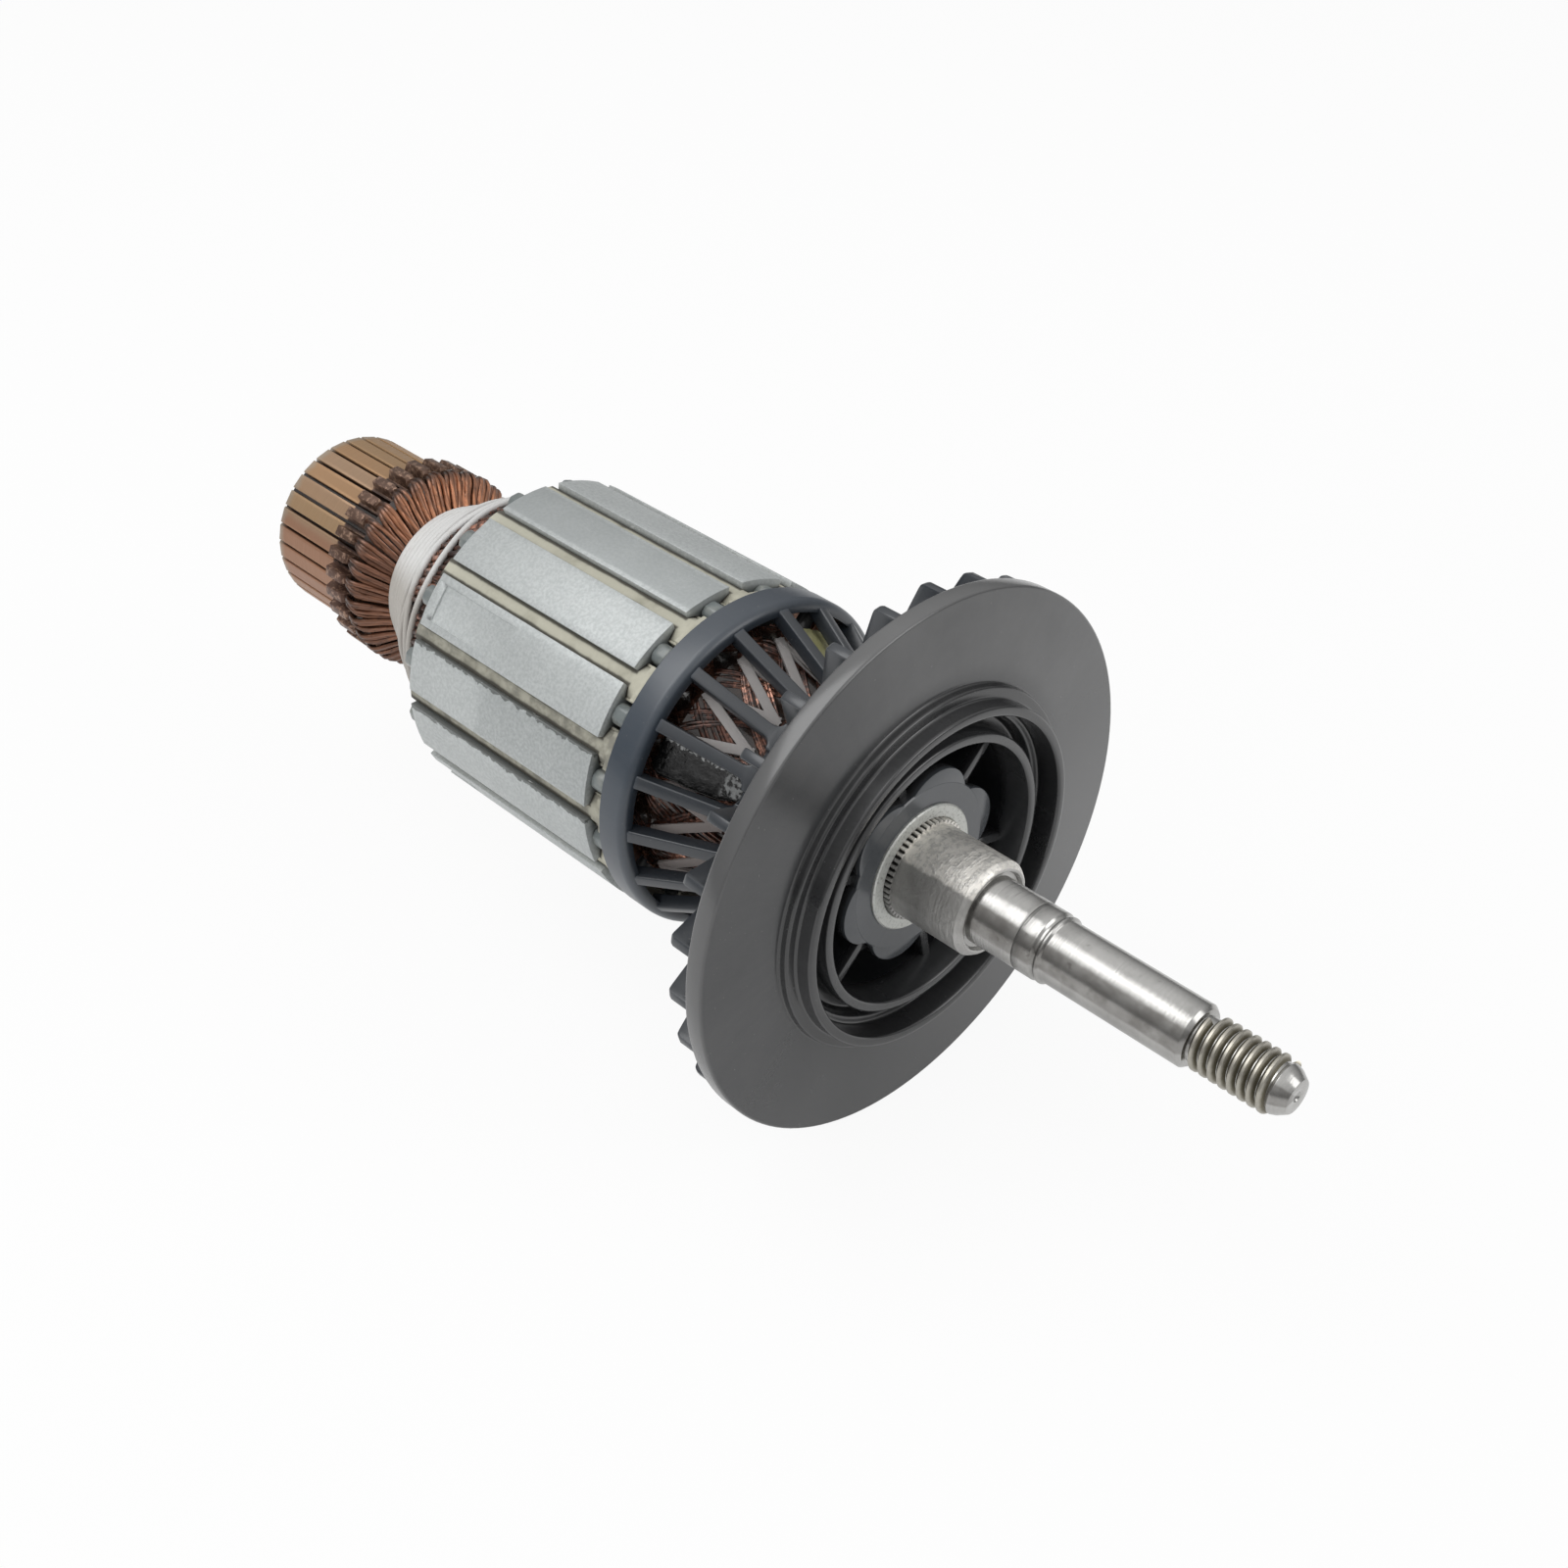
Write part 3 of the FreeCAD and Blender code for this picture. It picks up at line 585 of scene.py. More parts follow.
@dataclass(frozen=True)
class TurnedSteel:
    """Turned and ground steel with rings round the shaft, faint stains, a painted dark reflection band round
    its lower side, painted shade in the knurl's grooves, and a pitted sleeve painted lighter on its upper
    side.
    """

    name: str = "turned_steel"
    bright: Colour = (0.50, 0.495, 0.48)
    dull: Colour = (0.27, 0.265, 0.255)
    stain_and_shade: Colour = (0.085, 0.075, 0.065)
    sleeve_light: Colour = (0.95, 0.92, 0.86)
    gap: Colour = (0.015, 0.014, 0.012)
    roughness: float = 0.155
    metal: float = 0.82
    sleeve_r: float = 6.2
    gap_r: Span = (7.3, 7.5)
    gap_x: Span = (-24.1, -12.2)
    dark_band_turn: Span = (47.0, 86.0)
    sleeve_light_turn: Span = (-80.0, 44.0)

    def build(self) -> bpy.types.Material:
        """Make the material.

        Returns:
            The finished material.
        """
        graph = Graph(self.name)
        rings = graph.noise(5200, 3, graph.stretched((1.0, 0.02, 0.02)))
        streak = graph.noise(260, 4, graph.stretched((1.0, 0.5, 0.5)))
        grit = graph.noise(2400, 4)
        blot = graph.noise(330, 4)
        turn = graph.angle + (blot - 0.5) * 8.0
        marks = graph.noise(1500, 4, graph.stretched((1.0, 0.12, 0.12))).step(0.38, 0.62)
        pits = graph.noise(1250, 4).step(0.44, 0.62)
        # Painted reflection: a dark band round the lower side of the shaft, added to the real spots and mixed
        # in with their dark colour.
        dark_band = turn.between(*self.dark_band_turn, 7.0) * (0.6 + blot.step(0.40, 0.64) * 0.4)
        spots = (graph.noise(900, 5).step(0.64, 0.76) + dark_band * 0.8).math("MINIMUM", 1.0)
        dulled = rings * 0.35 + grit * 0.3 + streak.step(0.35, 0.8) * 0.4 - 0.1
        tone = graph.mix(dulled, self.bright, self.dull)
        sleeve = graph.radius.step_mm(self.sleeve_r, self.sleeve_r + 0.3)
        # Painted light: the upper side of the sleeve is painted near white, broken by the marks and pits.
        sleeve_light = sleeve * turn.between(*self.sleeve_light_turn, 4.0) * (1.05 - marks * 0.3 - pits * 0.45)
        tone = graph.mix(sleeve_light, tone, self.sleeve_light)
        tone = graph.mix(spots * (0.75 - sleeve * 0.35), tone, self.stain_and_shade)
        # Painted shade: the knurl's grooves between the bush and the sleeve are darkened to near black.
        gap = (1 - graph.radius.step_mm(*self.gap_r)) * graph.x.between_mm(*self.gap_x, 0.2)
        colour = graph.mix(gap * 0.9, tone, self.gap)
        rough = self.roughness + rings * 0.08 + spots * 0.06 + sleeve * (0.10 + grit * 0.12)
        normal = graph.bump(rings * (0.3 + sleeve * 0.3) + (marks * 0.3 + pits * 0.4) * sleeve, 0.08, 1.0)
        metal = self.metal - sleeve * 0.3
        return graph.surface(Base_Color=colour, Metallic=metal, Roughness=rough, Normal=normal)


@dataclass(frozen=True)
class ThreadSteel:
    """Steel of the thread, with oil and dirt left in its grooves."""

    name: str = "thread_steel"
    crest: Colour = (0.44, 0.42, 0.37)
    groove: Colour = (0.17, 0.155, 0.115)
    crest_r: float = 3.97
    depth: float = 0.75

    def build(self) -> bpy.types.Material:
        """Make the material.

        Returns:
            The finished material.
        """
        graph = Graph(self.name)
        height = graph.radius.step_mm(self.crest_r - self.depth, self.crest_r)
        dirt = graph.noise(1500, 4)
        share = height * 0.9 + dirt * 0.4 - 0.25
        colour = graph.mix(share.step(0.2, 0.95), self.groove, self.crest)
        rough = 0.5 - height * 0.2 + dirt * 0.1
        return graph.surface(Base_Color=colour, Metallic=0.9, Roughness=rough)


@dataclass(frozen=True)
class CoreSteel:
    """Steel sheet of the core, ground on the outside and grained by the stack's edges, with painted shade
    along and inside its slots.
    """

    name: str = "core_steel"
    pale: Colour = (0.53, 0.555, 0.55)
    grey: Colour = (0.33, 0.35, 0.35)
    worn: Colour = (0.21, 0.225, 0.225)
    slot_edge_shade: Colour = (0.085, 0.09, 0.085)
    scratch: Colour = (0.74, 0.76, 0.75)
    inside: Colour = (0.10, 0.11, 0.11)
    face_r: float = 26.0
    worn_turn: Span = (67.4, 83.4)
    worn_x: Span = (-76.0, -53.0)
    dull_turn: Span = (-4.0, 10.5)
    slot_edge_shade_turns: tuple[Span, Span] = ((64.0, 66.7), (89.0, 91.0))

    def build(self) -> bpy.types.Material:
        """Make the material.

        Returns:
            The finished material.
        """
        graph = Graph(self.name)
        grain = graph.noise(2100, 5)
        sheets = graph.noise(1900, 2, graph.stretched((1.0, 0.04, 0.04)))
        cloud = graph.noise(110, 4)
        speckle = grain.step(0.36, 0.64)
        tone = graph.mix(speckle * 0.4 + sheets * 0.2 + cloud * 0.4 - 0.15, self.pale, self.grey)
        wobble = (cloud - 0.5) * 14 * MM
        patch = (graph.x + wobble).between_mm(*self.worn_x, 4.0) * graph.angle.between(*self.worn_turn, 1.5)
        tone = graph.mix(patch * (0.1 + grain * 0.4), tone, self.worn)
        dull = graph.angle.between(*self.dull_turn, 1.0) * (0.35 + cloud * 0.5)
        tone = graph.mix(dull, tone, self.grey)
        # Painted shade: ragged dark lines along two slot edges, where they meet the teeth below them.
        ragged = graph.angle + (graph.noise(800, 4) - 0.5) * 5.0
        upper, lower = self.slot_edge_shade_turns
        slot_edge_shade = ragged.between(*upper, 0.4) + ragged.between(*lower, 0.4)
        tone = graph.mix(slot_edge_shade.math("MINIMUM", 1.0) * 0.8, tone, self.slot_edge_shade)
        lines = graph.noise(520, 2, graph.around(1.0, 0.02)).step(0.66, 0.70)
        marks = lines * graph.noise(90, 2).step(0.52, 0.6)
        tone = graph.mix(marks * 0.7, tone, self.scratch)
        # Painted shade: the slot walls below the core's face are darkened towards near black.
        depth = 1 - graph.radius.step_mm(self.face_r - 1.6, self.face_r - 0.45)
        colour = graph.mix(depth * 0.8, tone, self.inside)
        rough = 0.42 + grain * 0.16 - patch * 0.06
        normal = graph.bump(grain * 0.8 + sheets * 0.4, 0.035, 0.6)
        return graph.surface(Base_Color=colour, Metallic=0.30, Roughness=rough, Normal=normal)


@dataclass(frozen=True)
class SlotPaper:
    """Cream insulating paper, with painted shade towards its edges along the slot walls, and aged in the
    lower slots.
    """

    name: str = "slot_paper"
    clean: Colour = (0.55, 0.535, 0.44)
    soiled: Colour = (0.30, 0.285, 0.22)
    aged: Colour = (0.15, 0.145, 0.125)
    slot_wall_shade: Colour = (0.06, 0.055, 0.045)
    slots: int = 15
    phase: float = 15.35
    core_x: float = -52.95
    aged_turn: Span = (56.0, 100.0)
    edge: Span = (0.55, 0.95)

    def build(self) -> bpy.types.Material:
        """Make the material.

        Returns:
            The finished material.
        """
        graph = Graph(self.name)
        fibres = graph.noise(2400, 4)
        cloud = graph.noise(240, 3)
        tone = graph.mix(cloud.step(0.45, 0.8) * 0.6 + fibres * 0.25, self.clean, self.soiled)
        aged = graph.angle.between(*self.aged_turn, 3.0) * (0.30 + graph.noise(420, 3).step(0.36, 0.66) * 0.5)
        tone = graph.mix(aged, tone, self.aged)
        # Painted shade: the strips darken to near black along the slot walls, within the core.
        pitch = 360.0 / self.slots
        share = ((graph.angle - self.phase + 720.0) / pitch + 0.5).math("FRACT") - 0.5
        off = share.math("ABSOLUTE") * math.radians(pitch) * graph.radius
        uneven = (cloud - 0.5) * 0.5 * MM
        within = 1 - graph.x.step_mm(self.core_x, self.core_x + 0.4)
        colour = graph.mix((off + uneven).step_mm(*self.edge) * within * 0.92, tone, self.slot_wall_shade)
        normal = graph.bump(fibres, 0.05, 0.5)
        return graph.surface(Base_Color=colour, Roughness=0.7 + fibres * 0.15, Normal=normal)


@dataclass(frozen=True)
class Moulded:
    """Matt moulded plastic with a fine grain and clouds of dust."""

    name: str
    base: Colour
    dust: Colour
    roughness: float = 0.5
    grain: float = 0.02

    def build(self) -> bpy.types.Material:
        """Make the material.

        Returns:
            The finished material.
        """
        graph = Graph(self.name)
        grain = graph.noise(3200, 2)
        cloud = graph.noise(160, 4)
        colour = graph.mix(cloud.step(0.5, 0.85) * 0.5 + grain * 0.12, self.base, self.dust)
        rough = self.roughness + grain * 0.12 + cloud * 0.06
        return graph.surface(Base_Color=colour, Roughness=rough, Normal=graph.bump(grain, self.grain, 0.6))


@dataclass(frozen=True)
class SpiderPlastic:
    """Grey-green plastic of the end spiders, glossy on the arms' tips, with painted shade darkening it deeper
    down.
    """

    name: str = "spider_plastic"
    base: Colour = (0.15, 0.17, 0.17)
    dust: Colour = (0.34, 0.34, 0.30)
    pit_shade: Colour = (0.022, 0.022, 0.020)
    pit_shade_r: Span = (22.4, 24.4)

    def build(self) -> bpy.types.Material:
        """Make the material.

        Returns:
            The finished material.
        """
        graph = Graph(self.name)
        grain = graph.noise(2600, 3)
        cloud = graph.noise(300, 3)
        tone = graph.mix(cloud.step(0.45, 0.8) * 0.6, self.base, self.dust)
        # Painted shade: below the arms' tips the plastic is darkened to near black.
        depth = 1 - graph.radius.step_mm(*self.pit_shade_r)
        colour = graph.mix(depth * 0.92, tone, self.pit_shade)
        normal = graph.bump(grain, 0.02, 0.5)
        return graph.surface(Base_Color=colour, Roughness=0.30 + grain * 0.12, Coat_Weight=0.3, Normal=normal)


@dataclass(frozen=True)
class FanPlastic:
    """Dark moulded plastic: grey disc, lighter round its top with dust and painted light, bluer cage and hub,
    painted shade black in the hollows, pale worn rim.
    """

    name: str = "fan_plastic"
    disc: Colour = (0.034, 0.035, 0.037)
    cage: Colour = (0.020, 0.025, 0.032)
    guard: Colour = (0.033, 0.045, 0.061)
    hub: Colour = (0.056, 0.062, 0.070)
    edge: Colour = (0.16, 0.16, 0.16)
    hollow: Colour = (0.005, 0.005, 0.006)
    face_x: float = -12.8
    rim_r: float = 41.2
    recess_r: float = 19.7
    hub_r: float = 15.6
    valley_r: Span = (21.2, 22.9)
    raised_r: Span = (24.2, 27.6)
    guard_x: Span = (-45.3, -44.3)
    disc_depth: Span = (2.6, 3.2)
    plate_depth: Span = (0.9, 1.3)
    floor_depth: Span = (11.5, 12.0)
    dust_and_light_r: Span = (27.0, 31.0)
    dust_and_light_turn: Span = (-52.0, 4.0)

    def build(self) -> bpy.types.Material:
        """Make the material.

        Returns:
            The finished material.
        """
        graph = Graph(self.name)
        grain = graph.noise(2800, 2)
        cloud = graph.noise(70, 4)
        flow = graph.noise(900, 3, graph.around(0.2, 0.0006))
        behind = self.face_x * MM - graph.x
        front = 1 - behind.step_mm(*self.disc_depth)
        base = graph.mix(graph.x.step_mm(*self.guard_x), self.guard, self.cage)
        base = graph.mix(front, base, self.disc)
        plate = (1 - graph.radius.step_mm(self.hub_r, self.hub_r + 0.2)) * front
        base = graph.mix(plate * (1 - behind.step_mm(*self.plate_depth)), base, self.hub)
        # Painted shade: the recess round the hub is darkened to near black.
        inside = 1 - graph.radius.step_mm(self.recess_r, self.recess_r + 0.2)
        ahead = 1 - behind.step_mm(*self.floor_depth)
        base = graph.mix(inside * behind.step_mm(1.0, 3.0) * ahead * 0.9, base, self.hollow)
        raised = graph.radius.between_mm(*self.raised_r, 0.4) * front
        base = graph.mix(raised * 0.6, base, self.hollow)
        # Painted shade: the valley between the rings is darkened to near black.
        valley = graph.radius.between_mm(*self.valley_r, 0.15)
        base = graph.mix(valley * behind.step_mm(0.0, 0.9) * front * 0.85, base, self.hollow)
        # Dust and painted light: the outer disc is painted lighter round its upper side.
        dust_and_light = graph.angle.between(*self.dust_and_light_turn, 30.0) * front * graph.radius.step_mm(*self.dust_and_light_r)
        base = graph.mix(dust_and_light * (0.15 + cloud * 0.4), base, self.edge)
        specks = graph.noise(1900, 1).step(0.77, 0.80)
        tone = graph.mix((cloud - 0.5) * 0.30 + grain * 0.05 + flow * 0.07 + specks * 0.5, base, self.edge)
        rim = graph.radius.step_mm(self.rim_r - 0.5, self.rim_r - 0.1)
        colour = graph.mix(rim * 0.35, tone, self.edge)
        rough = 0.13 + grain * 0.04 + cloud * 0.12 + (1 - front) * 0.12
        normal = graph.bump(grain, 0.010, 0.4)
        return graph.surface(Base_Color=colour, Roughness=rough, Specular_IOR_Level=0.75, Normal=normal)


@dataclass(frozen=True)
class BarCopper:
    """Commutator copper, turned on its face, each bar in a tone of its own, with grimy dark hooks, and
    painted shade in the gaps between the hooks and on the bars' side walls.
    """

    name: str = "bar_copper"
    gold: Colour = (0.49, 0.295, 0.13)
    rose: Colour = (0.43, 0.24, 0.135)
    grey: Colour = (0.38, 0.33, 0.27)
    red: Colour = (0.36, 0.165, 0.095)
    hook: Colour = (0.085, 0.046, 0.034)
    hook_light: Colour = (0.34, 0.215, 0.155)
    hook_gap_shade: Colour = (0.02, 0.010, 0.008)
    wall_shade_and_lines: Colour = (0.05, 0.022, 0.012)
    count: int = 30
    phase: float = 10.1
    face_r: float = 15.0
    front_x: float = -129.3
    rear_x: float = -145.4
    red_turn: Span = (66.0, 150.0)

    def build(self) -> bpy.types.Material:
        """Make the material.

        Returns:
            The finished material.
        """
        graph = Graph(self.name)
        spread = (graph.angle - self.phase + 360.0) * (self.count / 360.0)
        bar = spread.math("FLOOR")
        lines = graph.noise(5200, 3, graph.stretched((1.0, 0.03, 0.03)))
        cloud = graph.noise(420, 3)
        tone = graph.mix(graph.random(bar), self.gold, self.rose)
        tone = graph.mix(graph.random(bar + 40.0) * 0.35 + cloud * 0.15, tone, self.grey)
        tone = graph.mix(graph.angle.between(*self.red_turn, 8.0) * 0.7, tone, self.red)
        tone = graph.mix(lines * 0.25, tone, self.wall_shade_and_lines)
        end = 1 - (graph.x + (cloud - 0.5) * 1.6 * MM).step_mm(self.rear_x + 0.9, self.rear_x + 2.4)
        tone = graph.mix(end * 0.75, tone, self.grey)
        hooked = (graph.x + (cloud - 0.5) * 0.5 * MM).step_mm(self.front_x - 0.2, self.front_x + 0.3)
        spots = graph.noise(1300, 3)
        tone = graph.mix(hooked * 0.92, tone, graph.mix(spots.step(0.48, 0.66), self.hook, self.hook_light))
        # Painted shade: the gaps between neighbouring hooks are darkened to near black.
        off = (spread.math("FRACT") - 0.5).math("ABSOLUTE")
        gap = (off + (cloud - 0.5) * 0.2 + (spots - 0.5) * 0.3).step(0.25, 0.37)
        tone = graph.mix(gap * hooked * 0.85, tone, self.hook_gap_shade)
        # Painted shade: the bars' side walls below the face are darkened; the same dark colour also draws the
        # turning lines.
        wall_shade_and_lines = 1 - graph.radius.step_mm(self.face_r - 0.62, self.face_r - 0.18)
        colour = graph.mix(wall_shade_and_lines * (1 - hooked * 0.5) * (1 - end), tone, self.wall_shade_and_lines)
        rough = 0.40 + lines * 0.18 - hooked * 0.08
        normal = graph.bump(lines * 0.3 + spots * hooked * 0.7, 0.04, 0.5)
        return graph.surface(Base_Color=colour, Metallic=0.55, Roughness=rough, Normal=normal)


@dataclass(frozen=True)
class EnamelledWire:
    """Enamelled copper leads, brown, with dirt and painted shade at the hooks, and painted light on their
    upper side where they dive to the neck.
    """

    name: str = "enamelled_wire"
    bright: Colour = (0.66, 0.28, 0.14)
    brown: Colour = (0.22, 0.095, 0.052)
    dark: Colour = (0.020, 0.011, 0.008)
    dark_x: float = -122.6
    bright_x: float = -119.4
    lit_top_z: Span = (3.0, 16.0)

    def build(self) -> bpy.types.Material:
        """Make the material.

        Returns:
            The finished material.
        """
        graph = Graph(self.name)
        patch = graph.noise(170, 3)
        fine = graph.noise(1300, 3)
        clean = graph.x.step_mm(self.dark_x, self.bright_x)
        # Painted light: the leads are painted bright only on their upper side, towards the neck.
        top = (graph.z + graph.y * 0.5).step_mm(*self.lit_top_z)
        wire = graph.noise(1.0, 1, graph.around(120.0, 0.42)).step(0.38, 0.66)
        top_light = clean * (patch.step(0.4, 0.7) * 0.15 + top * 0.75) * (0.35 + wire * 0.65)
        tone = graph.mix(top_light, self.brown, self.bright)
        # Dirt and painted shade: the leads darken at random, and towards near black by the hooks, where the
        # gaps between hook roots and wires lie.
        dirt_and_shade = fine.step(0.5, 0.8) * 0.45 + (1 - clean) * 0.55 + (1 - wire) * 0.3
        colour = graph.mix(dirt_and_shade, tone, self.dark)
        rough = 0.24 + fine * 0.2
        return graph.surface(Base_Color=colour, Metallic=0.5, Roughness=rough, Coat_Weight=0.3)


@dataclass(frozen=True)
class CoilWire:
    """Varnished coil wire of the winding heads, dull brown with few clean places, which are painted bright as
    highlights.
    """

    name: str = "coil_wire"
    clean: Colour = (0.86, 0.42, 0.29)
    brown: Colour = (0.085, 0.031, 0.019)
    dark: Colour = (0.008, 0.005, 0.004)

    def build(self) -> bpy.types.Material:
        """Make the material.

        Returns:
            The finished material.
        """
        graph = Graph(self.name)
        patch = graph.noise(210, 3)
        fine = graph.noise(1500, 3)
        # Clean copper and painted highlight: bright patches stand in for the highlights on the strands.
        tone = graph.mix(patch.step(0.45, 0.75) * 0.8, self.brown, self.clean)
        colour = graph.mix(fine.step(0.40, 0.60) * 0.85, tone, self.dark)
        return graph.surface(Base_Color=colour, Metallic=0.5, Roughness=0.22 + fine * 0.2, Coat_Weight=0.3)


@dataclass(frozen=True)
class Cord:
    """White braided glass cord, stiffened with varnish, soiled in clouds and darkened by painted shade on its
    lower side.
    """

    name: str = "white_cord"
    white: Colour = (0.68, 0.68, 0.67)
    soiled: Colour = (0.42, 0.40, 0.37)
    shaded_turn: Span = (66.0, 150.0)

    def build(self) -> bpy.types.Material:
        """Make the material.

        Returns:
            The finished material.
        """
        graph = Graph(self.name)
        braid = graph.noise(2600, 2)
        cloud = graph.noise(300, 3)
        # Painted shade: the lower side of the cord is darkened towards the soiled colour.
        low = graph.angle.between(*self.shaded_turn, 25.0) * 0.95
        share = (cloud.step(0.55, 0.85) * 0.5 + braid * 0.1 + low).math("MINIMUM", 1.0)
        colour = graph.mix(share, self.white, self.soiled)
        normal = graph.bump(braid, 0.06, 0.5)
        return graph.surface(Base_Color=colour, Roughness=0.7 + braid * 0.15, Normal=normal)


@dataclass(frozen=True)
class Lacquer:
    """Glossy lump or varnish with an uneven skin."""

    name: str
    base: Colour
    second: Colour
    roughness: float = 0.16
    depth: float = 0.15
    scale: float = 420.0

    def build(self) -> bpy.types.Material:
        """Make the material.

        Returns:
            The finished material.
        """
        graph = Graph(self.name)
        lumps = graph.noise(self.scale, 3)
        fine = graph.noise(self.scale * 4, 2)
        colour = graph.mix(lumps.step(0.35, 0.75), self.base, self.second)
        rough = self.roughness + fine * 0.18
        normal = graph.bump(lumps, self.depth, 0.8)
        return graph.surface(Base_Color=colour, Roughness=rough, Coat_Weight=0.4, Normal=normal)


@dataclass(frozen=True)
class BalancingPutty:
    """Glossy black putty with a pale crust that is broken along its upper edge."""

    name: str = "black_putty"
    black: Colour = (0.006, 0.006, 0.006)
    smeared: Colour = (0.020, 0.020, 0.020)
    crust: Colour = (0.42, 0.43, 0.43)
    edge_turn: Span = (47.5, 51.2)
    end_turn: Span = (47.0, 61.0)
    end_x: Span = (-36.6, -35.8)

    def build(self) -> bpy.types.Material:
        """Make the material.

        Returns:
            The finished material.
        """
        graph = Graph(self.name)
        lumps = graph.noise(650, 3)
        flakes = graph.noise(1500, 3)
        turn = graph.angle + (lumps - 0.5) * 8.0
        edge = turn.between(*self.edge_turn, 0.5)
        end = graph.x.step_mm(*self.end_x) * turn.between(*self.end_turn, 1.0) * 0.6
        pale = edge.math("MAXIMUM", end) * flakes.step(0.40, 0.56)
        tone = graph.mix(lumps.step(0.45, 0.75), self.black, self.smeared)
        colour = graph.mix(pale, tone, self.crust)
        rough = 0.10 + pale * 0.4 + flakes * 0.08
        normal = graph.bump(lumps * 0.8 + flakes * 0.2, 0.6, 0.8)
        return graph.surface(Base_Color=colour, Roughness=rough, Coat_Weight=0.5, Normal=normal)


@dataclass(frozen=True)
class SinteredMetal:
    """Pale grainy metal of a bush."""

    name: str = "sintered_metal"
    pale: Colour = (0.62, 0.63, 0.60)
    pit: Colour = (0.24, 0.24, 0.22)

    def build(self) -> bpy.types.Material:
        """Make the material.

        Returns:
            The finished material.
        """
        graph = Graph(self.name)
        grain = graph.noise(2600, 4)
        colour = graph.mix(grain.step(0.5, 0.75) * 0.7, self.pale, self.pit)
        normal = graph.bump(grain, 0.03, 0.6)
        return graph.surface(Base_Color=colour, Metallic=0.6, Roughness=0.42 + grain * 0.2, Normal=normal)


@dataclass(frozen=True)
class Finishes:
    """Every finish of the armature, each made once."""

    steel: bpy.types.Material = field(default_factory=lambda: TurnedSteel().build())
    thread: bpy.types.Material = field(default_factory=lambda: ThreadSteel().build())
    core: bpy.types.Material = field(default_factory=lambda: CoreSteel().build())
    paper: bpy.types.Material = field(default_factory=lambda: SlotPaper().build())
    fan: bpy.types.Material = field(default_factory=lambda: FanPlastic().build())
    bars: bpy.types.Material = field(default_factory=lambda: BarCopper().build())
    wire: bpy.types.Material = field(default_factory=lambda: EnamelledWire().build())
    coil: bpy.types.Material = field(default_factory=lambda: CoilWire().build())
    cord: bpy.types.Material = field(default_factory=lambda: Cord().build())
    lacing: bpy.types.Material = field(
        default_factory=lambda: Cord("lacing_cord", (0.42, 0.40, 0.39), (0.26, 0.23, 0.22)).build()
    )
    bush: bpy.types.Material = field(default_factory=lambda: SinteredMetal().build())
    spider: bpy.types.Material = field(default_factory=lambda: SpiderPlastic().build())
    phenolic: bpy.types.Material = field(
        default_factory=lambda: Moulded("phenolic", (0.035, 0.026, 0.022), (0.10, 0.08, 0.07)).build()
    )
    varnish: bpy.types.Material = field(
        default_factory=lambda: Lacquer("dark_varnish", (0.018, 0.012, 0.010), (0.06, 0.028, 0.016)).build()
    )
    putty: bpy.types.Material = field(default_factory=lambda: BalancingPutty().build())
    resin: bpy.types.Material = field(
        default_factory=lambda: Lacquer(
            "olive_resin", (0.36, 0.35, 0.17), (0.52, 0.50, 0.30), roughness=0.25, depth=0.1
        ).build()
    )


# Sub-assemblies


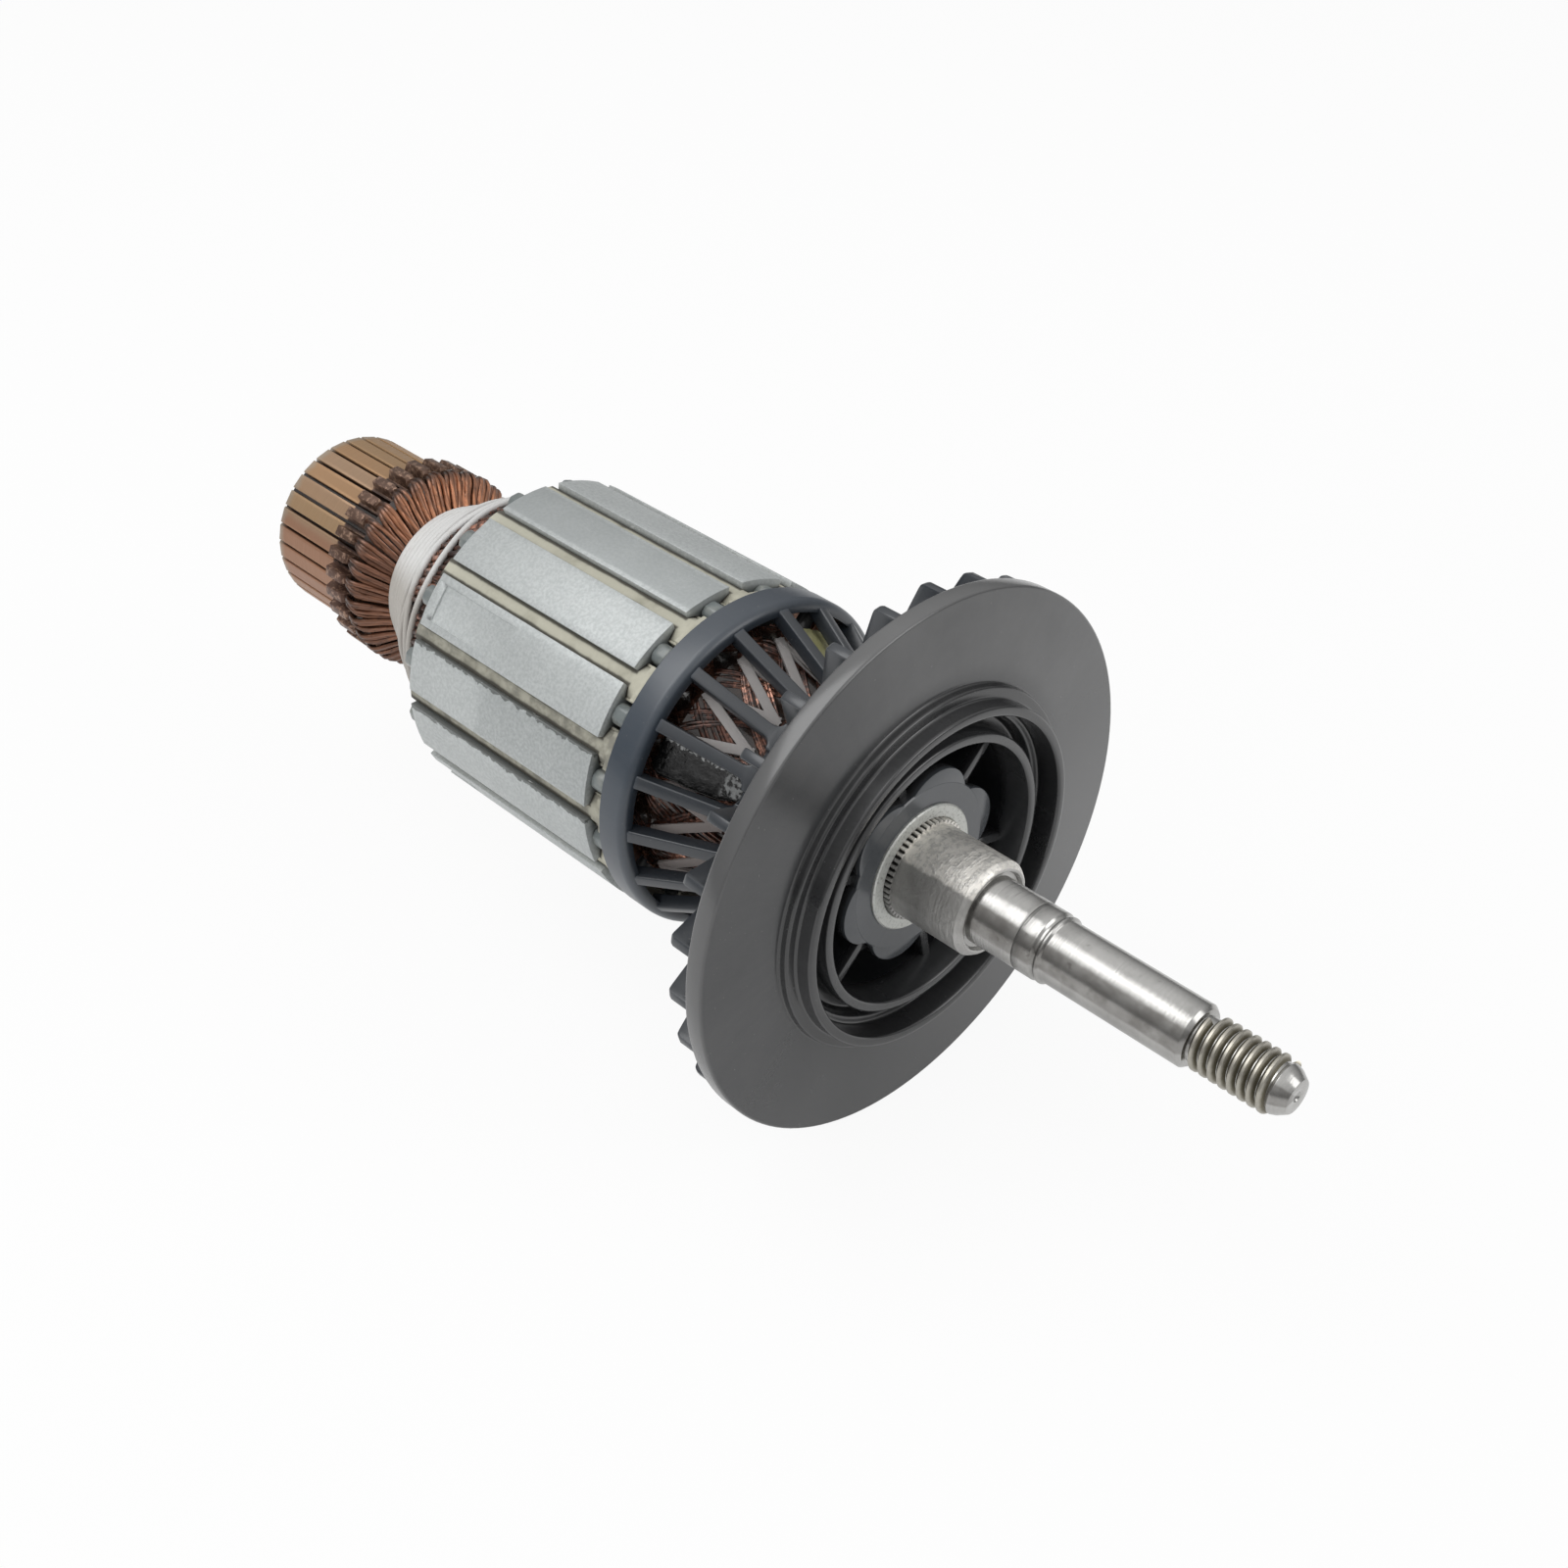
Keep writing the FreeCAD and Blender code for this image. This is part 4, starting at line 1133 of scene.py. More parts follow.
@dataclass
class Shaft:
    """Turned and ground shaft with its threaded end."""

    finishes: Finishes
    rear_end: float = -156.4
    moulding_x: float = -146.4
    hook_x: float = -123.3
    rear_r: float = 4.0
    hub_r: float = 6.0
    core_r: float = 7.0
    sleeve_r: float = 7.1
    sleeve_length: float = 12.8
    lip: float = 0.9
    groove: float = 0.7
    journal_r: float = 5.0
    journal_end: float = 11.3
    seat_r: float = 4.5
    seat_end: float = 33.5
    thread_r: float = 3.97
    thread_end: float = 45.4
    tip_end: float = 47.6
    tip_r: float = 2.4
    pitch: float = 1.41
    thread_depth: float = 0.72
    knurl_x: float = -24.0
    knurl_length: float = 12.0
    knurl_r: float = 7.6
    knurl_depth: float = 0.5
    knurl_teeth: int = 50

    def build(self) -> None:
        """Make the bar, its knurl and its thread."""
        body = self.body()
        soften(body, 0.16, 2, 25)
        knurl = self.knurl()
        whole = join("shaft_bar", [body, knurl])
        smooth(whole, 35)
        place(whole, Slot.STEEL, self.finishes.steel, "shaft")
        place(self.thread(), Slot.STEEL, self.finishes.thread)

    def body(self) -> bpy.types.Object:
        """Turn the bar from the rear journal to the root of the thread, with its domed tip.

        Returns:
            The bar without knurl and thread.
        """
        root_r = self.thread_r - self.thread_depth
        relief = self.journal_end - 1.5
        half = self.journal_end * 0.62
        outline = [
            (self.rear_end, 0), (self.rear_end, self.rear_r - 0.3), (self.rear_end + 0.3, self.rear_r),
            (self.moulding_x, self.rear_r), (self.moulding_x, self.hub_r), (self.hook_x, self.hub_r),
            (self.hook_x, self.core_r), (-self.sleeve_length, self.core_r),
            (-self.sleeve_length, self.sleeve_r), (-self.lip, self.sleeve_r),
            (-0.25, self.sleeve_r - 0.45), (0, self.sleeve_r - 0.85),
            (0, self.sleeve_r - 1.15), (-self.groove, self.sleeve_r - 1.45), (-self.groove, self.journal_r),
            (half - 0.15, self.journal_r), (half, self.journal_r - 0.08), (half + 0.15, self.journal_r),
            (relief, self.journal_r), (relief + 0.3, self.journal_r - 0.35),
            (relief + 0.75, self.journal_r - 0.35), (relief + 0.95, self.journal_r - 0.1),
            (self.journal_end - 0.25, self.journal_r - 0.1), (self.journal_end, self.seat_r),
            (self.seat_end - 0.6, self.seat_r), (self.seat_end, self.seat_r - 0.5), (self.seat_end, root_r),
            (self.thread_end - 0.3, root_r), (self.thread_end + 0.2, self.thread_r - 0.45),
            (self.thread_end + 1.0, self.thread_r - 0.75), (self.tip_end - 0.5, self.tip_r + 0.35),
            (self.tip_end, self.tip_r), (self.tip_end, 0.75), (self.tip_end - 1.2, 0),
        ]
        return turn_piece("shaft_body", outline, 96)

    def knurl(self) -> bpy.types.Object:
        """Cut the straight knurl under the fan's bush.

        Returns:
            The toothed ring.
        """
        profile = ((-0.16, self.knurl_r), (0.16, self.knurl_r), (0.5, self.knurl_r - self.knurl_depth))
        corners = []
        for tooth in range(self.knurl_teeth):
            for share, radius in profile:
                corners.append(polar(self.knurl_x, radius, (tooth + share) * 360 / self.knurl_teeth))
        return plate_piece("shaft_knurl", corners, Vector((self.knurl_length * MM, 0, 0)))

    def thread(self) -> bpy.types.Object:
        """Wind the thread's ridge round the end of the shaft.

        Returns:
            The ridge, closed at both ends.
        """
        root_r = self.thread_r - self.thread_depth - 0.06
        start = self.seat_end + 0.75
        turns = (self.thread_end - 0.1 - start) / self.pitch
        half = self.pitch * 0.495
        section = [(-half, root_r), (-0.16, self.thread_r), (0.16, self.thread_r), (half, root_r)]
        corners = [Vector((start + x, 0, radius)) * MM for x, radius in section]
        piece = draw("shaft_thread", corners + corners[:1])
        close_gap = 0.002 * MM
        bpy.ops.mesh.select_all(action="SELECT")
        bpy.ops.mesh.remove_doubles(threshold=close_gap)
        bpy.ops.object.mode_set(mode="OBJECT")
        rise = {"screw_offset": self.pitch * MM * turns, "angle": TURN * turns}
        steps = round(40 * turns)
        apply(piece, "SCREW", axis="X", steps=steps, render_steps=steps, use_smooth_shade=True, **rise)
        edit_all(piece)
        bpy.ops.mesh.select_mode(type="EDGE")
        bpy.ops.mesh.select_all(action="DESELECT")
        bpy.ops.mesh.select_non_manifold()
        bpy.ops.mesh.edge_face_add()
        bpy.ops.object.mode_set(mode="OBJECT")
        close_up(piece)
        smooth(piece, 30)
        return piece


@dataclass
class Core:
    """Steel core with its wedges, liners, coil sides and end spiders."""

    finishes: Finishes
    edge: float = 0.13

    def build(self) -> None:
        """Dress the core's solids, with fine edges where the eye gets close."""
        core = fine_copy("core_stack", "core_laminations")
        soften(core, self.edge, 2, 40)
        place(core, Slot.LAMINATION, self.finishes.core, "core_stack")
        wedges = fine_copy("slot_wedges", "wedge_strips")
        soften(wedges, 0.2, 2, 40)
        place(wedges, Slot.PAPER, self.finishes.paper, "slot_wedges")
        for node, name in (("end_spider_front", "spider_front"), ("end_spider_rear", "spider_rear")):
            spider = fine_copy(node, name)
            soften(spider, 0.35, 3, 40)
            place(spider, Slot.PLASTIC, self.finishes.spider, node)
        dress_solid("slot_liners", self.finishes.paper)
        dress_solid("slot_conductors", self.finishes.wire)
        dress_solid("shaft_insulation_tube", self.finishes.spider)


@dataclass
class Commutator:
    """Copper bars with their hooks on the moulded hub."""

    finishes: Finishes

    def build(self) -> None:
        """Dress the commutator."""
        bars = fine_copy("commutator_bars", "copper_bars")
        soften(bars, 0.1, 2, 35)
        place(bars, Slot.COMMUTATOR, self.finishes.bars, "commutator_bars")
        dress_solid("bar_insulation", self.finishes.varnish)
        dress_solid("commutator_moulding", self.finishes.phenolic)
        dress_solid("commutator_rings", self.finishes.steel)
        dress_solid("commutator_bush", self.finishes.bush)
        dress_solid("commutator_spacer", self.finishes.spider)


@dataclass
class RearWinding:
    """Winding head at the commutator end, its leads and the white cord that binds them."""

    finishes: Finishes
    bars: int = 30
    phase: float = 10.1
    face: tuple[Span, ...] = (
        (-124.2, 15.9), (-123.3, 16.35), (-122.4, 16.75), (-121.5, 16.8), (-120.75, 16.45), (-120.05, 15.7),
        (-119.35, 14.75), (-118.6, 13.8), (-117.8, 12.85), (-117.0, 12.0),
    )
    swirl: float = 7.5
    lead_r: float = 0.4
    lanes: tuple[Span, ...] = ((-0.28, 0.0), (-0.02, 0.25), (0.22, 0.05), (0.46, 0.35))
    neck: Span = (-117.4, 11.9)
    crown: Span = (-98.5, 21.0)
    coils: int = 60
    layers: int = 2
    layer_shift: float = 2.6
    coil_lean: float = 12.0
    coil_r: float = 0.5
    cord_r: float = 0.55
    loose_turns: tuple[tuple[float, float, float], ...] = (
        (-107.3, 0.25, 0.0), (-105.6, 0.9, 70.0), (-104.0, 1.3, 200.0), (-101.4, 0.8, 310.0),
    )

    def build(self) -> None:
        """Make the leads, the coils towards the core, and the cord."""
        leads = strands("lead_strands", self.lead_paths(), self.lead_r)
        place(leads, Slot.WIRE, self.finishes.wire, "lead_wires")
        dress_solid("lead_cone", self.finishes.varnish)
        dress_solid("coil_head_rear", self.finishes.varnish)
        head = strands("rear_head_strands", self.head_paths(), self.coil_r)
        place(head, Slot.WIRE, self.finishes.coil)
        band = fine_copy("binding_cord_rear", "cord_band")
        smooth(band, 60)
        thin = strands("cord_turns", self.thin_paths(), self.cord_r, 8)
        cord = join("binding_cord", [band, thin])
        place(cord, Slot.CORD, self.finishes.cord, "binding_cord_rear")

    def side_r(self, x: float) -> float:
        """Give the radius of the head's conical side at a station."""
        share = (x - self.neck[0]) / (self.crown[0] - self.neck[0])
        return self.neck[1] + min(share, 1.0) * (self.crown[1] - self.neck[1])

    def lead_paths(self) -> list[list[Vector]]:
        """Lay the leads from each bar's hook over the rim and down to the neck.

        Returns:
            The centrelines, each spread and swirled a little differently.
        """
        paths = []
        pitch = 360 / self.bars
        for index in range(self.bars):
            for lane, (lean, drop) in enumerate(self.lanes):
                base = self.phase + (index + 0.5) * pitch
                wander = 1.2 * math.sin(index * 2.4 + lane * 1.7)
                path = []
                for step, (x, radius) in enumerate(self.face):
                    share = step / (len(self.face) - 1)
                    spread = lean * pitch * min(1.0, 0.25 + 1.4 * share)
                    angle = base + spread + (self.swirl + wander) * share * share
                    path.append(polar(x - drop * share, radius - drop, angle))
                paths.append(path)
        return paths

    def head_paths(self) -> list[list[Vector]]:
        """Lay the coil sides that come out of the core down to the cord.

        Returns:
            The centrelines of all the strands.
        """
        paths = []
        start, end = self.crown[0] + 2.0, self.neck[0] + 9.0
        for index in range(self.coils):
            for layer in range(self.layers):
                base = index * 360.0 / self.coils + layer * self.layer_shift
                path = []
                for step in range(9):
                    share = step / 8
                    x = start + share * (end - start)
                    sink = 0.25 + 0.25 * layer + (1.6 * (1 - share / 0.25) ** 2 if share < 0.25 else 0.0)
                    sink += 0.7 * max(0.0, share - 0.8) / 0.2
                    angle = base + self.coil_lean * share + 1.6 * math.sin(index * 1.3 + layer)
                    path.append(polar(x, self.side_r(x) - sink + 0.3, angle))
                paths.append(path)
        return paths

    def thin_paths(self) -> list[list[Vector]]:
        """Wind the loose turns towards the core, which cross each other in places.

        Returns:
            The centreline of each turn.
        """
        paths = []
        for x, weave, shift in self.loose_turns:
            path = []
            for step in range(145):
                angle = 360 * step / 144
                sway = weave * math.sin(math.radians(2 * angle + shift))
                sway += weave * 0.5 * math.sin(math.radians(5 * angle + shift * 2))
                spot = x + sway
                path.append(polar(spot, self.side_r(spot) + 0.65, angle))
            paths.append(path)
        return paths


@dataclass
class FrontWinding:
    """Winding head inside the fan's cage, with its lacing and the balancing lumps."""

    finishes: Finishes
    head_x: float = -50.35
    crown: float = 0.302
    length: float = 17.2
    head_r: float = 20.4
    nose_r: float = 14.6
    coils: int = 30
    wires: int = 8
    wire_pitch: float = 1.6
    wire_r: float = 0.3
    lacing_turn: float = 9.0

    def lump(self, name: str, along: Span, round_it: Span, phase: float) -> bpy.types.Object:
        """Smear a flat lump with a wavy edge over the winding.

        Args:
            name: Name of the new piece.
            along: First and last station in millimetres.
            round_it: First and last angle in degrees.
            phase: Shift of the waves in the edge.

        Returns:
            The closed lump.
        """
        corners = []
        middle = sum(along) / 2, sum(round_it) / 2
        half = (along[1] - along[0]) / 2, (round_it[1] - round_it[0]) / 2
        for step in range(36):
            turn = TURN * step / 36
            across, beside = math.cos(turn), math.sin(turn)
            reach = (abs(across) ** 4 + abs(beside) ** 4) ** -0.25
            reach *= 0.95 + 0.035 * math.sin(5 * turn + phase) + 0.02 * math.sin(11 * turn + 2 * phase)
            x = middle[0] + half[0] * reach * across
            share = (x - self.head_x) / self.length
            corners.append(polar(x, self.surface_r(share) - 0.5, middle[1] + half[1] * reach * beside))
        piece = plate_piece(name, corners, polar(0.8, 1.75, middle[1]))
        soften(piece, 0.45, 3, 40)
        return piece

    def surface_r(self, share: float) -> float:
        """Give the head's radius at a share of its length from the core.

        Args:
            share: Share of the length, from 0 to 1.

        Returns:
            The radius in millimetres.
        """
        if share < self.crown:
            return self.head_r
        return self.head_r + (share - self.crown) / (1 - self.crown) * (self.nose_r - self.head_r)

    def build(self) -> None:
        """Make the strands and dress what lies on them."""
        dress_solid("coil_head_front", self.finishes.varnish)
        wires = strands("front_head_strands", self.paths(), self.wire_r)
        place(wires, Slot.WIRE, self.finishes.coil)
        lacing = fine_copy("lacing_cord_front", "lacing_cord")
        soften(lacing, 0.18, 2, 40)
        lacing.rotation_mode = "XYZ"
        lacing.rotation_euler.x = math.radians(self.lacing_turn)
        bpy.ops.object.transform_apply(location=False, rotation=True, scale=False)
        place(lacing, Slot.CORD, self.finishes.lacing, "lacing_cord_front")
        putty = self.lump("putty_sheet", (-47.2, -33.9), (48.4, 66.6), 1.0)
        place(putty, Slot.PUTTY, self.finishes.putty, "putty_lump")
        resin = self.lump("resin_sheet", (-46.6, -34.0), (-41.0, -19.0), 2.4)
        place(resin, Slot.RESIN, self.finishes.resin, "resin_lump")

    def paths(self) -> list[list[Vector]]:
        """Lay bundles of wire that slant over the cone both ways.

        Returns:
            The centrelines of all the strands.
        """
        paths = []
        for coil in range(self.coils):
            way = 1 if coil % 2 else -1
            for wire in range(self.wires):
                base = coil * 360.0 / self.coils + wire * self.wire_pitch
                path = []
                for step in range(13):
                    share = step / 12
                    length_share = 0.06 + 0.9 * share
                    radius = self.surface_r(length_share) - 0.05 - 0.1 * (wire % 3)
                    x = self.head_x + self.length * length_share
                    angle = base + way * (34 + wire) * share + 1.5 * math.sin(coil + wire)
                    path.append(polar(x, radius, angle))
                paths.append(path)
        return paths


@dataclass
class Fan:
    """Fan moulding: disc, rings, lobed hub, blades, cone and guard cage."""

    finishes: Finishes
    face_x: float = -12.8
    fan_r: float = 41.18
    disc: float = 3.0
    outer_ring: Span = (25.8, 4.0)
    step: Span = (1.7, 1.4)
    inner_ring: Span = (21.2, 2.5)
    ring_wall: float = 1.5
    valley: float = 2.0
    recess: float = 9.0
    floor: float = 2.2
    bore_r: float = 7.6
    bush_front_r: float = 9.6
    bush_r: float = 10.0
    bush_length: float = 16.0
    hub_r: float = 12.2
    plate: float = 1.8
    plate_drop: float = 0.5
    lobes: int = 6
    lobe_reach: float = 14.9
    lobe_r: float = 6.3
    hub_phase: float = 11.6
    hub_rib_width: float = 1.5
    cone_front_r: float = 25.0
    cone_back_r: float = 17.6
    cone_wall: float = 2.4
    cone_length: float = 20.0
    guard_x: Span = (-50.0, -44.8)
    guard_r: float = 26.0
    guard_wall: float = 1.8
    guard_round: float = 1.5
    ribs: int = 18
    rib_width: float = 1.9
    rib_depth: float = 2.2
    rib_flare: float = 1.35
    rib_phase: float = 7.5
    blades: int = 29
    blade_thickness: float = 1.5
    blade_phase: float = 4.6
    tip_r: float = 40.6
    tip_depth: float = 4.2
    root_depth: float = 11.0

    def build(self) -> None:
        """Make the moulding and its bush."""
        body, guard, hub = self.body(), self.guard_ring(), self.hub_plate()
        hub_ribs, cage_ribs, blades = self.hub_rib_ring(), self.rib_ring(), self.blade_ring()
        whole = join("fan_moulding", [body, guard, hub, hub_ribs, cage_ribs, blades])
        smooth(whole, 38)
        place(whole, Slot.FAN, self.finishes.fan, "fan")
        face, back = self.face_x, self.face_x - self.bush_length
        outline = [
            (back, self.bore_r), (face - 0.2, self.bore_r), (face, self.bore_r + 0.2),
            (face, self.bush_front_r - 0.2), (face - 0.2, self.bush_front_r), (face - 1.8, self.bush_front_r),
            (face - 1.8, self.bush_r), (back, self.bush_r),
        ]
        bush = turn_piece("bush_ring", outline, 96)
        smooth(bush)
        place(bush, Slot.BUSH, self.finishes.bush, "fan_bush")

    def body(self) -> bpy.types.Object:
        """Turn the disc with its rings, the recess, the hub and the cone.

        Returns:
            The turned body.
        """
        face = self.face_x
        outer_r, outer_up = self.outer_ring
        inner_r, inner_up = self.inner_ring
        step_wide, step_up = self.step
        outline = [
            (face - self.bush_length, self.bush_r), (face - 1.0, self.bush_r), (face - 1.0, self.hub_r),
            (face - self.recess, self.hub_r), (face - self.recess, inner_r - self.ring_wall),
            (face + inner_up, inner_r - self.ring_wall), (face + inner_up, inner_r),
            (face - self.valley, inner_r), (face - self.valley, outer_r - 2 * self.ring_wall),
            (face, outer_r - 2 * self.ring_wall + 0.45),
            (face, outer_r - self.ring_wall), (face + outer_up, outer_r - self.ring_wall),
            (face + outer_up, outer_r), (face + step_up, outer_r),
            (face + step_up, outer_r + step_wide), (face, outer_r + step_wide),
            (face, self.fan_r), (face - self.disc, self.fan_r), (face - self.disc, self.cone_front_r),
            (face - self.cone_length, self.cone_back_r),
            (face - self.cone_length, self.cone_back_r - self.cone_wall),
            (face - self.recess - self.floor, inner_r - self.ring_wall - self.cone_wall / 2),
            (face - self.recess - self.floor, self.hub_r), (face - self.bush_length, self.hub_r),
        ]
        piece = turn_piece("fan_body", outline, 144)
        soften(piece, 0.42, 3)
        return piece

    def guard_ring(self) -> bpy.types.Object:
        """Turn the cage's ring over the winding, with its full round front edge.

        Returns:
            The ring.
        """
        rear, front = self.guard_x
        outer, bend = self.guard_r, self.guard_round
        inner = outer - self.guard_wall
        turns = [math.radians(angle) for angle in range(0, 91, 15)]
        arc = [(front - bend + bend * math.sin(turn), outer - bend + bend * math.cos(turn)) for turn in turns]
        outline = [(rear, inner), (rear, outer - 0.3), (rear + 0.3, outer), *arc, (front, inner)]
        piece = turn_piece("guard_ring", outline, 144)
        smooth(piece)
        return piece

    def hub_plate(self) -> bpy.types.Object:
        """Cut the six-lobed plate round the bush.

        Returns:
            The plate.
        """
        front = self.face_x - self.plate_drop
        back = front - self.plate
        inner, edge_r = self.bush_front_r, self.hub_r + 0.6
        top = front + 0.03
        outline = [(back, inner), (top, inner), (top, edge_r - 0.2), (top - 0.2, edge_r), (back, edge_r)]
        disc = turn_piece("hub_disc", outline, 96)
        phase = self.hub_phase + 180 / self.lobes
        centre = polar(back, self.lobe_reach - self.lobe_r, phase)
        corners = []
        for step in range(25):
            turn = math.radians(phase - 75 + 150 * step / 24)
            corners.append(centre + Vector((0, -math.sin(turn), math.cos(turn))) * self.lobe_r * MM)
        corners += [polar(back, self.bush_r + 0.2, phase + 12), polar(back, self.bush_r + 0.2, phase - 12)]
        lobe = plate_piece("hub_lobe", corners, Vector((self.plate * MM, 0, 0)))
        soften(lobe, 0.3, 2, 50)
        ring_copies(lobe, self.lobes)
        return join("hub_plate", [disc, lobe])

    def hub_rib_ring(self) -> bpy.types.Object:
        """Cut the six ribs in the recess.

        Returns:
            The ring of ribs.
        """
        front = self.face_x - 1.6
        back = self.face_x - self.recess - 1.0
        side = tangent(self.hub_phase)
        inner, outer = self.hub_r - 1.0, self.inner_ring[0] - self.ring_wall + 0.7
        outline = [(back, inner), (front, inner), (front, outer), (back, outer)]
        push = side * self.hub_rib_width * MM
        corners = [polar(x, radius, self.hub_phase) - push / 2 for x, radius in outline]
        rib = plate_piece("hub_rib", corners, push)
        soften(rib, 0.3, 2)
        ring_copies(rib, self.lobes)
        return rib

    def rib_ring(self) -> bpy.types.Object:
        """Model one slanting rib of the cage, flared at its root, and repeat it.

        Returns:
            The ring of ribs.
        """
        top = Vector((self.guard_x[1] - 1.0, self.guard_r - 0.5))
        foot = Vector((self.face_x - self.cone_length + 1.6, self.cone_back_r + 0.70))
        along = foot - top
        length = along.length
        half = self.rib_width / 2
        flare = self.rib_flare
        edge = [(0.0, half + 0.35), (0.9, half + 0.05), (1.6, half)]
        for angle in (0, 20, 40, 60, 78, 90):
            turn = math.radians(angle)
            edge.append((length - flare - 1.2 + flare * math.sin(turn), half + flare * (1 - math.cos(turn))))
        edge.append((length, half + flare))
        outline = edge + [(at, -wide) for at, wide in reversed(edge)]
        side = tangent(self.rib_phase)
        corners = []
        for at, wide in outline:
            spot = top + along * (at / length)
            corners.append(polar(spot.x, spot.y, self.rib_phase) + side * wide * MM)
        inward = Vector((along.y, -along.x)).normalized()
        if inward.y > 0:
            inward = -inward
        push = polar(inward.x * self.rib_depth, inward.y * self.rib_depth, self.rib_phase)
        rib = plate_piece("cage_rib", corners, push)
        soften(rib, 0.32, 3, 40)
        ring_copies(rib, self.ribs)
        return rib

    def blade_ring(self) -> bpy.types.Object:
        """Model one blade behind the disc, with rounded corners, and repeat it.

        Returns:
            The ring of blades.
        """
        back = self.face_x - self.disc
        slope = (self.cone_front_r - self.cone_back_r) / (self.cone_length - self.disc)
        root_x = back - self.root_depth
        root_r = self.cone_front_r - slope * self.root_depth
        outline = [
            (back + 1.0, self.cone_front_r - 1.2), (back + 1.0, self.tip_r - 0.4), (back, self.tip_r),
            (back - self.tip_depth + 1.0, self.tip_r), (back - self.tip_depth + 0.3, self.tip_r - 0.3),
            (back - self.tip_depth, self.tip_r - 1.0), (root_x, root_r), (root_x, root_r - 1.2),
        ]
        side = tangent(self.blade_phase)
        push = side * self.blade_thickness * MM
        corners = [polar(x, radius, self.blade_phase) - push / 2 for x, radius in outline]
        blade = plate_piece("fan_blade", corners, push)
        soften(blade, 0.3, 2, 40)
        ring_copies(blade, self.blades)
        return blade


